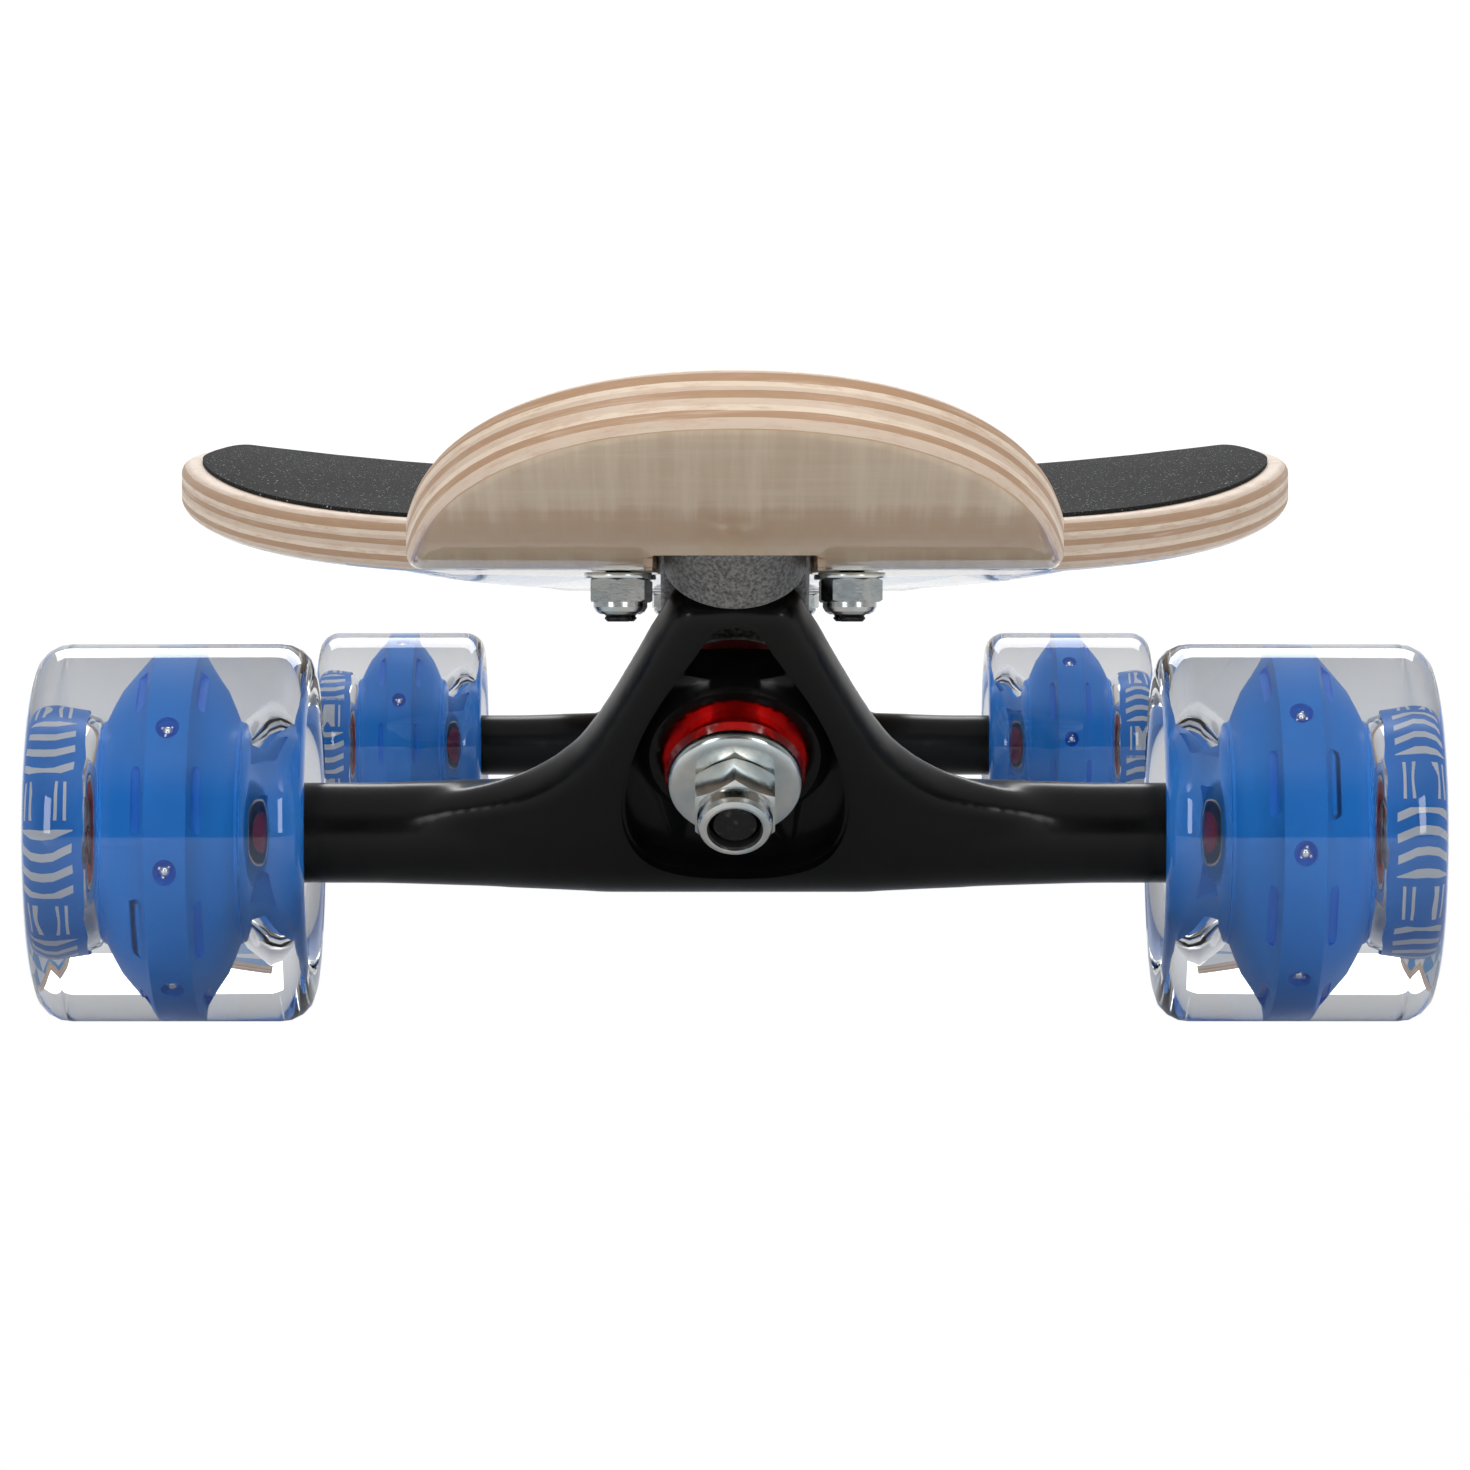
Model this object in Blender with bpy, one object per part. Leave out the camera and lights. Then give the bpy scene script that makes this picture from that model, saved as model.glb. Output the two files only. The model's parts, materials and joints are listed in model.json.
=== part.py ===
"""Drop-through longboard, built from its separate pieces.

Metres, +Z up. The origin is on the ground under the middle of the board, the board runs along Y
with its nose at -Y, and X runs across it. Each truck is worked out once in a frame of its own, with
x across, y outward from the axle towards the board's tip and z up from the ground, and is then
placed under both ends of the deck.
"""
import math

import bmesh
import bpy
from mathutils import Matrix, Vector

# ---------------------------------------------------------------- driving dimensions
GAP = 0.0003                    # play between pieces that touch

# deck
DECK_LENGTH = 1.041
DECK_WIDTH = 0.2413
DECK_THICKNESS = 0.0105
WHEELBASE = 0.762
NECK_HALF_WIDTH = 0.057         # beside the wheels
FLARE_START = 0.062             # inward of the axle
FLARE_LENGTH = 0.168
TIP_LENGTH = 0.075              # rounded end of the outline
TIP_SQUARENESS = 2.2
KICK_RADIUS = 0.060
KICK_ANGLE = math.radians(20)
CAMBER_START = 0.055            # inward of the axle
CAMBER_RISE = 0.0148
CONCAVE_RISE = 0.008            # at the deck's widest
CONCAVE_START = 0.060
CONCAVE_FADE = 0.140
DECK_EDGE_CHAMFER = 0.002
GRIP_THICKNESS = 0.0008
GRIP_INSET = 0.0015
GRIP_MARGIN = 0.001             # grip tape cut back from the baseplate

# truck geometry
TRUCK_HEIGHT = 0.048            # axle to the deck's underside
STEER_ANGLE = math.radians(50)  # pivot axis to the deck
KINGPIN_OFFSET = 0.0264         # kingpin axis to axle, along the pivot axis
PIVOT_REACH = 0.0638            # axle to the pivot boss's rim, along the pivot axis
PIVOT_BOSS_RADIUS = 0.0127
PIVOT_CUP_DEPTH = 0.011
PIVOT_CUP_RADIUS = 0.0083
PIVOT_CUP_WALL = 0.002
PIVOT_NECK = 0.0066
WINDOW_TOP = 0.0572              # axle to the top of the hanger's window, along the pivot axis
SHOULDER_REACH = 0.0615         # axle to the hanger's shoulder

# baseplate
FLANGE_THICKNESS = 0.0055
FLANGE_HALF_WIDTH = 0.029
FLANGE_INNER = -0.036           # from the axle, outward positive
FLANGE_OUTER = 0.072
BLOCK_HALF_WIDTH = 0.0135       # of all that reaches down through the deck
SLOT_MARGIN = 0.001             # round that, in the deck
HEAD_POCKET_HALF_WIDTH = 0.009
BOLT_SPREAD = 0.0413
BOLT_ROWS = (-0.0058, 0.048)
BOLT_RADIUS = 0.0024
BOLT_HEAD_RADIUS = 0.0045
BOLT_HEAD_HEIGHT = 0.0026
BOLT_PROUD = 0.0013             # past its nut
MOUNT_NUT_FLATS = 0.0095
MOUNT_NUT_HEIGHT = 0.0064
WASHER_RADIUS = 0.006
WASHER_THICKNESS = 0.001

# kingpin stack; distances along the kingpin from the pivot axis, towards the nut
KINGPIN_RADIUS = 0.00475
KINGPIN_FACE = -0.012           # baseplate's face under the boardside washer
KINGPIN_HEAD = -0.030           # underside of the kingpin's head
KINGPIN_HEAD_FLATS = 0.014
KINGPIN_HEAD_HEIGHT = 0.006
BOARDSIDE_SEAT = 0.0025
ROADSIDE_SEAT = 0.0055
ROADSIDE_BUSHING_HEIGHT = 0.0105
BUSHING_RADIUS = 0.013
BUSHING_TAPER = 0.0019          # on the radius, towards the washer
CUP_WASHER_THICKNESS = 0.0011
CUP_WASHER_DEPTH = 0.0014
KINGPIN_NUT_FLATS = 0.0143
KINGPIN_NUT_HEIGHT = 0.0107

# hanger
HANGER_WIDTH = 0.180
TUBE_RADIUS = 0.00915
TUBE_BELLY_RADIUS = 0.011
PLATE_BACK = -0.002
PLATE_FRONT = 0.010
RING_LIP = 0.009
RING_RADIUS = 0.016
RING_HOLE_RADIUS = 0.008

# axle, wheels and bearings
AXLE_RADIUS = 0.00395
AXLE_PROUD = 0.0015             # past its nut
AXLE_NUT_FLATS = 0.0127
AXLE_NUT_HEIGHT = 0.0077
SPEED_RING = 0.0008             # space for the thin washers beside the bearings
WHEEL_RADIUS = 0.035
WHEEL_WIDTH = 0.051
WHEEL_LIP = 0.006
DISH_RADIUS = 0.024
MOUTH_RADIUS = 0.0150            # the round mouth on the wheel's outboard side
CORE_WIDTH = 0.025
CORE_RADIUS = 0.0135
CORE_RIDGE_RADIUS = 0.0236
CORE_RIDGE_WIDTH = 0.0076
BEARING_RADIUS = 0.011
BEARING_WIDTH = 0.007
BEARING_RECESS = 0.0003         # bearing face behind the core's end

# worked out
KICK_START = FLANGE_OUTER - 0.004       # outward of the axle; the flange needs the deck flat
AXLE_HEIGHT = WHEEL_RADIUS
DECK_CLEARANCE = AXLE_HEIGHT + TRUCK_HEIGHT     # ground to underside, at the trucks
DECK_TOP = DECK_CLEARANCE + DECK_THICKNESS
BUSHING_END_RADIUS = BUSHING_RADIUS - BUSHING_TAPER
CUP_WASHER_RADIUS = BUSHING_END_RADIUS + CUP_WASHER_THICKNESS
FLANGE_BOTTOM = DECK_TOP + GAP
FLANGE_TOP = FLANGE_BOTTOM + FLANGE_THICKNESS
PIVOT_AXIS = Vector((0.0, math.cos(STEER_ANGLE), math.sin(STEER_ANGLE)))
KINGPIN_AXIS = Vector((0.0, math.sin(STEER_ANGLE), -math.cos(STEER_ANGLE)))
ACROSS = Vector((1.0, 0.0, 0.0))
AXLE_CENTRE = Vector((0.0, 0.0, AXLE_HEIGHT))
BEARING_INNER = CORE_WIDTH / 2 - BEARING_RECESS - BEARING_WIDTH
WHEEL_CENTRE = HANGER_WIDTH / 2 + SPEED_RING + CORE_WIDTH / 2 - BEARING_RECESS
AXLE_NUT_START = WHEEL_CENTRE + CORE_WIDTH / 2 - BEARING_RECESS + SPEED_RING + GAP
AXLE_END = AXLE_NUT_START + AXLE_NUT_HEIGHT + AXLE_PROUD
ROADSIDE_WASHER = ROADSIDE_SEAT + ROADSIDE_BUSHING_HEIGHT + 2 * GAP
KINGPIN_NUT_START = ROADSIDE_WASHER + CUP_WASHER_THICKNESS + GAP
KINGPIN_END = KINGPIN_NUT_START + KINGPIN_NUT_HEIGHT - 0.0015


# ---------------------------------------------------------------- helpers
def material(name, colour, roughness, metallic=0.0, transmission=0.0):
    made = bpy.data.materials.new(name)
    made.use_nodes = True
    shader = made.node_tree.nodes["Principled BSDF"]
    shader.inputs["Base Color"].default_value = (*colour, 1.0)
    shader.inputs["Roughness"].default_value = roughness
    shader.inputs["Metallic"].default_value = metallic
    shader.inputs["Transmission Weight"].default_value = transmission
    return made


def frame_along(axis, centre):
    """A frame with its Z along the axis and its X across the board."""
    across = ACROSS if abs(axis.x) < 0.5 else Vector((0.0, 1.0, 0.0))
    columns = Matrix((across, axis.cross(across), axis)).transposed().to_4x4()
    return Matrix.Translation(centre) @ columns


KINGPIN_FRAME = frame_along(KINGPIN_AXIS, AXLE_CENTRE + KINGPIN_OFFSET * PIVOT_AXIS)
PIVOT_FRAME = frame_along(PIVOT_AXIS, AXLE_CENTRE)
AXLE_FRAME = frame_along(ACROSS, AXLE_CENTRE)


def finished(bm, name, frame=None):
    """Close off a bmesh as a mesh whose faces point out, moved into a frame."""
    if frame is not None:
        bm.transform(frame)
    bmesh.ops.recalc_face_normals(bm, faces=bm.faces)
    mesh = bpy.data.meshes.new(name)
    bm.to_mesh(mesh)
    bm.free()
    return mesh


def hexagon(apothem, angle):
    return apothem / math.cos(angle % (math.pi / 3) - math.pi / 6)


def turned(name, loop, segments, frame=None, bored=True, half_step=False):
    """A turned piece about Z. Each point of the loop is (along, radius) or (along, apothem, "hex").

    A bored piece's loop closes on itself. Otherwise its two ends are capped.
    """
    bm = bmesh.new()
    rings = []
    for along, radius, *shape in loop:
        ring = []
        for step in range(segments):
            angle = 2 * math.pi * (step + 0.5 * half_step) / segments
            reach = hexagon(radius, angle) if shape else radius
            ring.append(bm.verts.new((reach * math.cos(angle), reach * math.sin(angle), along)))
        rings.append(ring)
    pairs = list(zip(rings, rings[1:]))
    if bored:
        pairs.append((rings[-1], rings[0]))
    else:
        bm.faces.new(rings[0])
        bm.faces.new(rings[-1])
    for low, high in pairs:
        for step in range(segments):
            after = (step + 1) % segments
            bm.faces.new((low[step], low[after], high[after], high[step]))
    return finished(bm, name, frame)


def prism(name, outline, low, high, frame=None):
    """An outline in x and y, as a solid from low to high along z."""
    bm = bmesh.new()
    floor = [bm.verts.new((x, y, low)) for x, y in outline]
    roof = [bm.verts.new((x, y, high)) for x, y in outline]
    bm.faces.new(floor)
    bm.faces.new(roof)
    for step in range(len(outline)):
        after = (step + 1) % len(outline)
        bm.faces.new((floor[step], floor[after], roof[after], roof[step]))
    return finished(bm, name, frame)


def mirrored(half):
    """A closed outline from its right half, listed from one end to the other."""
    return half + [(-x, y) for x, y in reversed(half) if x > 0]


def arc(centre, radius, start, end, steps):
    """Points on an arc, with its angles in degrees."""
    points = []
    for step in range(steps + 1):
        angle = math.radians(start + (end - start) * step / steps)
        points.append((centre[0] + radius * math.cos(angle), centre[1] + radius * math.sin(angle)))
    return points


def shaped(base, *steps):
    """The base mesh with each (operation, tool mesh) applied in turn."""
    body = bpy.data.objects.new(base.name, base)
    bpy.context.collection.objects.link(body)
    tools = []
    for operation, mesh in steps:
        tool = bpy.data.objects.new(mesh.name, mesh)
        bpy.context.collection.objects.link(tool)
        boolean = body.modifiers.new(operation.lower(), "BOOLEAN")
        boolean.operation = operation
        boolean.solver = "EXACT"
        boolean.object = tool
        tools.append(tool)
    bpy.context.view_layer.update()
    result = bpy.data.meshes.new_from_object(body.evaluated_get(bpy.context.evaluated_depsgraph_get()))
    result.name = base.name
    for item in (body, *tools):
        bpy.data.objects.remove(item)
    bm = bmesh.new()
    bm.from_mesh(result)
    bmesh.ops.remove_doubles(bm, verts=bm.verts, dist=0.00001)
    bm.to_mesh(result)
    bm.free()
    return result


def place(name, mesh, finish, parent, world, edge_degrees=35):
    """A named piece with its own copy of a material, under its parent, at a place in the world."""
    mesh = mesh.copy()
    mesh.name = name
    mesh.materials.clear()
    mesh.materials.append(finish)
    mesh.shade_smooth()
    mesh.set_sharp_from_angle(angle=math.radians(edge_degrees))
    piece = bpy.data.objects.new(name, mesh)
    bpy.context.collection.objects.link(piece)
    piece.parent = parent
    piece.matrix_world = world
    return piece


def empty(name, parent, world):
    made = bpy.data.objects.new(name, None)
    made.empty_display_size = 0.02
    bpy.context.collection.objects.link(made)
    made.parent = parent
    made.matrix_world = world
    bpy.context.view_layer.update()
    return made


# ---------------------------------------------------------------- deck and grip tape
def half_width(from_axle):
    """Half the deck's width, by the distance outward of the axle."""
    flare = (-from_axle - FLARE_START) / FLARE_LENGTH
    if flare > 0:
        share = (1 - (1 - min(flare, 1.0)) ** 3) ** 1.4
        return NECK_HALF_WIDTH + (DECK_WIDTH / 2 - NECK_HALF_WIDTH) * share
    tip = (from_axle - (DECK_LENGTH - WHEELBASE) / 2) / TIP_LENGTH + 1
    if tip > 0:
        return NECK_HALF_WIDTH * max(0.0, 1 - tip ** TIP_SQUARENESS) ** (1 / TIP_SQUARENESS)
    return NECK_HALF_WIDTH


def underside(x, y):
    """Height of the deck's underside."""
    out = abs(y) - WHEELBASE / 2
    height = DECK_CLEARANCE
    if out > KICK_START:
        curved = KICK_RADIUS * math.sin(KICK_ANGLE)
        along = min(out - KICK_START, curved)
        height += KICK_RADIUS - math.sqrt(KICK_RADIUS ** 2 - along ** 2)
        height += max(0.0, out - KICK_START - curved) * math.tan(KICK_ANGLE)
    inward = -out - CAMBER_START
    if inward > 0:
        share = inward / (WHEELBASE / 2 - CAMBER_START)
        height += CAMBER_RISE * math.sin(math.pi / 2 * min(share, 1.0)) ** 1.4
    fade = min(1.0, max(0.0, (-out - CONCAVE_START) / CONCAVE_FADE))
    height += CONCAVE_RISE * fade * fade * (3 - 2 * fade) * (x / (DECK_WIDTH / 2)) ** 2
    return height


def deck_stations():
    """Distances along the board at which the outline is taken, from nose to tail."""
    tip = (DECK_LENGTH - WHEELBASE) / 2
    out = [tip - TIP_LENGTH * (1 - math.sin(math.pi / 2 * step / 9) ** 0.8) for step in range(8, 0, -1)]
    out += [KICK_START, KICK_START + 0.007, tip - TIP_LENGTH, 0.03, 0.0, -0.035, -FLARE_START]
    out = sorted(out, reverse=True)
    out += [-FLARE_START - FLARE_LENGTH * (step / 8) ** 1.2 for step in range(1, 9)]
    middle = WHEELBASE / 2
    out += [-FLARE_START - FLARE_LENGTH - (middle - FLARE_START - FLARE_LENGTH) * step / 3 for step in (1, 2)]
    nose = [-middle - distance for distance in out]
    return nose + [0.0] + [-y for y in reversed(nose)]


def board(name, levels, cells=6):
    """The deck's outline as a solid. Each level is (inset, height above the underside)."""
    stations = deck_stations()
    end = DECK_LENGTH / 2
    side = [Vector((half_width(abs(y) - WHEELBASE / 2), y)) for y in stations]
    walk = [Vector((0.0, -end)), *side, Vector((0.0, end))]
    normals = []
    for before, after in zip(walk, walk[2:]):
        step = (after - before).normalized()
        normals.append(Vector((step.y, -step.x)))
    bm = bmesh.new()

    def vertex(x, y, lift):
        return bm.verts.new((x, y, underside(x, y) + lift))

    rings = []
    for number, (inset, lift) in enumerate(levels):
        points = [point - inset * normal for point, normal in zip(side, normals)]
        ends = [vertex(0.0, -end + inset, lift), vertex(0.0, end - inset, lift)]
        rows = []
        for point in points:
            inner = range(cells + 1) if number in (0, len(levels) - 1) else (0, cells)
            rows.append([vertex(point.x * (2 * cell / cells - 1), point.y, lift) for cell in inner])
        if number in (0, len(levels) - 1):
            for low, high in zip(rows, rows[1:]):
                for cell in range(cells):
                    bm.faces.new((low[cell], low[cell + 1], high[cell + 1], high[cell]))
            for tip, row in ((ends[0], rows[0]), (ends[1], rows[-1])):
                for cell in range(cells):
                    bm.faces.new((tip, row[cell], row[cell + 1]))
        left = [row[0] for row in rows]
        right = [row[-1] for row in reversed(rows)]
        rings.append([ends[0], *left, ends[1], *right])
    for low, high in zip(rings, rings[1:]):
        for step in range(len(low)):
            after = (step + 1) % len(low)
            bm.faces.new((low[step], low[after], high[after], high[step]))
    return finished(bm, name)


def flange_outline(margin=0.0):
    """The baseplate's flange from above, in x and y outward."""
    wide = FLANGE_HALF_WIDTH + margin
    inner = FLANGE_INNER - margin
    outer = FLANGE_OUTER + margin
    corner = 0.008
    nose = BLOCK_HALF_WIDTH + margin
    return mirrored([(wide - corner, inner), (wide, inner + corner), (wide, outer - 0.020),
                     (wide - 0.005, outer - 0.009), (nose, outer)])


def slot_outline():
    """The deck's drop-through slot, in x and y outward: wider between the bolts."""
    half = BLOCK_HALF_WIDTH + SLOT_MARGIN
    waist = BOLT_SPREAD / 2 + 0.0015
    inner, outer = FLANGE_INNER - 0.002, FLANGE_OUTER + 0.003
    low = BOLT_ROWS[0] + WASHER_RADIUS + 0.003
    high = BOLT_ROWS[1] - WASHER_RADIUS - 0.003
    round_end = 0.008
    right = arc((half - round_end, inner + round_end), round_end, -90, 0, 4)
    right += [(half, low - 0.001), (waist, low + 0.005), (waist, high - 0.005), (half, high + 0.001)]
    right += arc((half - round_end, outer - round_end), round_end, 0, 90, 4)
    return mirrored(right)


def bolt_places():
    return [(side * BOLT_SPREAD / 2, row) for row in BOLT_ROWS for side in (-1, 1)]


def build_deck(truck_frames):
    levels = [(DECK_EDGE_CHAMFER, 0.0), (0.0, DECK_EDGE_CHAMFER)]
    levels += [(inset, DECK_THICKNESS - lift) for inset, lift in reversed(levels)]
    below, above = DECK_CLEARANCE - 0.02, DECK_TOP + 0.03
    cuts = []
    hole = [(below, BOLT_RADIUS + GAP), (above, BOLT_RADIUS + GAP)]
    for frame in truck_frames:
        cuts.append(("DIFFERENCE", prism("slot", slot_outline(), below, above, frame)))
        for x, y in bolt_places():
            at = frame @ Matrix.Translation((x, y, 0.0))
            cuts.append(("DIFFERENCE", turned("hole", hole, 12, at, bored=False)))
    deck = shaped(board("deck", levels), *cuts)
    low = DECK_THICKNESS + GAP
    tape = board("grip_tape", [(GRIP_INSET, low), (GRIP_INSET, low + GRIP_THICKNESS)])
    window = [("DIFFERENCE", prism("window", flange_outline(GRIP_MARGIN), below, above, frame))
              for frame in truck_frames]
    return deck, shaped(tape, *window)


# ---------------------------------------------------------------- baseplate and pivot cup
def point_on(along_pivot, along_kingpin):
    """(y, z) of a point given along the pivot axis and along the kingpin."""
    at = AXLE_CENTRE + along_pivot * PIVOT_AXIS + along_kingpin * KINGPIN_AXIS
    return at.y, at.z


def side_prism(name, outline, half):
    """An outline in y and z, extruded across the board to both sides."""
    frame = Matrix(((0, 0, 1, 0), (1, 0, 0, 0), (0, 1, 0, 0), (0, 0, 0, 1)))
    return prism(name, outline, -half, half, frame)


def build_baseplate():
    middle = KINGPIN_OFFSET
    reach = BLOCK_HALF_WIDTH
    back = FLANGE_INNER + 0.003
    face_low = point_on(middle - reach, KINGPIN_FACE)
    face_high = point_on(middle + reach, KINGPIN_FACE)
    web_end = point_on(SHOULDER_REACH, KINGPIN_FACE)
    slope = math.cos(STEER_ANGLE) / math.sin(STEER_ANGLE)
    heel = (back, face_low[1] + (face_low[0] - back) * slope)
    top = FLANGE_BOTTOM + FLANGE_THICKNESS / 2
    block = side_prism("block", [(back, top), heel, face_low, face_high, web_end, (web_end[0], top)], reach)
    flange = prism("flange", flange_outline(), FLANGE_BOTTOM, FLANGE_TOP)
    boss = turned("boss", [(PIVOT_REACH, PIVOT_BOSS_RADIUS), (PIVOT_REACH + 0.03, PIVOT_BOSS_RADIUS)], 24,
                  PIVOT_FRAME, bored=False)
    above = prism("above", [(-0.1, -0.1), (0.1, -0.1), (0.1, 0.1), (-0.1, 0.1)], FLANGE_TOP, FLANGE_TOP + 0.05)
    cup_hole = turned("cup_hole", [(PIVOT_REACH - 0.02, PIVOT_CUP_RADIUS + GAP),
                                   (PIVOT_REACH + PIVOT_CUP_DEPTH, PIVOT_CUP_RADIUS + GAP)], 24,
                      PIVOT_FRAME, bored=False)
    floor_low = point_on(middle - HEAD_POCKET_HALF_WIDTH, KINGPIN_HEAD)
    floor_high = point_on(middle + HEAD_POCKET_HALF_WIDTH, KINGPIN_HEAD)
    pocket_back = FLANGE_INNER + 0.011
    heel_in = (pocket_back, floor_low[1] + (floor_low[0] - pocket_back) * slope)
    over = FLANGE_TOP + 0.01
    pocket = side_prism("pocket", [heel_in, floor_low, floor_high, (floor_high[0], over), (pocket_back, over)],
                        HEAD_POCKET_HALF_WIDTH)
    bore = turned("bore", [(KINGPIN_HEAD - 0.003, KINGPIN_RADIUS + GAP),
                           (KINGPIN_FACE + 0.01, KINGPIN_RADIUS + GAP)], 20, KINGPIN_FRAME, bored=False)
    steps = [("UNION", flange), ("UNION", boss), ("DIFFERENCE", above), ("DIFFERENCE", cup_hole),
             ("DIFFERENCE", pocket), ("DIFFERENCE", bore)]
    hole = [(FLANGE_BOTTOM - 0.01, BOLT_RADIUS + GAP), (FLANGE_TOP + 0.01, BOLT_RADIUS + GAP)]
    for x, y in bolt_places():
        at = Matrix.Translation((x, y, 0.0))
        steps.append(("DIFFERENCE", turned("hole", hole, 12, at, bored=False)))
    return shaped(block, *steps)


def build_pivot_cup():
    end = PIVOT_REACH + PIVOT_CUP_DEPTH - GAP
    inner = PIVOT_CUP_RADIUS - PIVOT_CUP_WALL
    loop = [(PIVOT_REACH, inner), (PIVOT_REACH, PIVOT_CUP_RADIUS), (end, PIVOT_CUP_RADIUS)]
    cup = loop + [(end, 0.002), (end - PIVOT_CUP_WALL / 2, 0.002), (end - PIVOT_CUP_WALL / 2, inner - 0.001)]
    return turned("pivot_cup", cup, 20)


# ---------------------------------------------------------------- kingpin, bushings and washers
def build_kingpin():
    head = KINGPIN_HEAD - GAP
    back = head - KINGPIN_HEAD_HEIGHT
    chamfer = 0.0008
    loop = [(back, KINGPIN_HEAD_FLATS / 2 - chamfer, "hex"), (back + chamfer, KINGPIN_HEAD_FLATS / 2, "hex"),
            (head, KINGPIN_HEAD_FLATS / 2, "hex"), (head, KINGPIN_RADIUS),
            (KINGPIN_END - chamfer, KINGPIN_RADIUS), (KINGPIN_END, KINGPIN_RADIUS - chamfer)]
    return turned("kingpin", loop, 12, bored=False)


def build_bushing(seat, end):
    """A bushing from its seat in the hanger to its washer, narrower at the washer."""
    bore = KINGPIN_RADIUS + GAP
    waist = seat + (end - seat) * 0.5
    loop = [(seat, bore), (seat, BUSHING_RADIUS), (waist, BUSHING_RADIUS), (end, BUSHING_END_RADIUS), (end, bore)]
    return turned("bushing", loop, 16)


def build_cup_washer(face, towards_bushing):
    """A cupped washer: its flat lies on the bushing's end, its rim reaches round it."""
    back = face - towards_bushing * CUP_WASHER_THICKNESS
    rim = face + towards_bushing * CUP_WASHER_DEPTH
    bore = KINGPIN_RADIUS + GAP
    inner = BUSHING_END_RADIUS + 2 * GAP
    loop = [(face, bore), (back, bore), (back, CUP_WASHER_RADIUS - CUP_WASHER_THICKNESS),
            (back + towards_bushing * CUP_WASHER_THICKNESS, CUP_WASHER_RADIUS), (rim, CUP_WASHER_RADIUS),
            (rim, inner + GAP), (face, inner - GAP)]
    return turned("cup_washer", loop, 16)


def build_lock_nut(flats, height, bore, washer=None):
    """A lock nut from z = 0 up: a hexagon, then a round collar. A flat washer may be under it."""
    collar = flats / 2 - 0.0005
    shoulder = height * 0.68
    loop = [(height, bore)]
    if washer:
        radius, thickness = washer
        loop += [(-thickness, bore), (-thickness, radius), (0.0, radius)]
    else:
        loop += [(0.0, bore)]
    loop += [(0.0, flats / 2, "hex"), (shoulder, flats / 2, "hex"), (shoulder, collar), (height, collar)]
    return turned("lock_nut", loop, 12)


# ---------------------------------------------------------------- hanger and axle
def hanger_outline():
    """The hanger's A-frame seen along the kingpin, in x and distance along the pivot axis."""
    shoulder = PIVOT_BOSS_RADIUS - 0.003
    right = [(0.060, -0.004), (0.052, 0.0105), (0.046, 0.0128), (0.0398, 0.015), (0.0345, 0.0182),
             (0.030, 0.0217), (0.0265, 0.0256), (0.0234, 0.032), (0.019, 0.042), (0.0149, 0.051),
             (0.0119, 0.0565), (shoulder, SHOULDER_REACH)]
    return mirrored(right)


def window_sides():
    """The window's right side, from below its rounded top to its widest place."""
    return [(0.0064, 0.0514), (0.0132, 0.0396), (0.0168, 0.0315), (0.0192, 0.0235), (0.0200, 0.0165)]


def window_outline():
    """The rounded triangle sunk into the hanger's front."""
    right = arc((0.0, WINDOW_TOP - 0.0050), 0.0050, 90, 20, 4)[1:] + window_sides()
    right += [(0.0197, 0.0105), (0.0178, 0.0052), (0.0143, 0.0016), (0.0090, -0.0003)]
    return mirrored([(0.0, WINDOW_TOP), *right, (0.0, -0.0010)])


def slot_above_ring():
    """The part of the window that goes right through, above the bushing ring."""
    ring_top = KINGPIN_OFFSET + RING_RADIUS
    wide, narrow = window_sides()[1], window_sides()[0]
    share = (ring_top + 0.0004 - narrow[1]) / (wide[1] - narrow[1])
    foot = narrow[0] + (wide[0] - narrow[0]) * share
    right = arc((0.0, WINDOW_TOP - 0.0056), 0.0042, 90, 25, 3)[1:]
    right += [(narrow[0] - 0.0012, narrow[1]), (foot - 0.0014, ring_top + 0.0004)]
    return mirrored([(0.0, WINDOW_TOP - 0.0014), *right])


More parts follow.
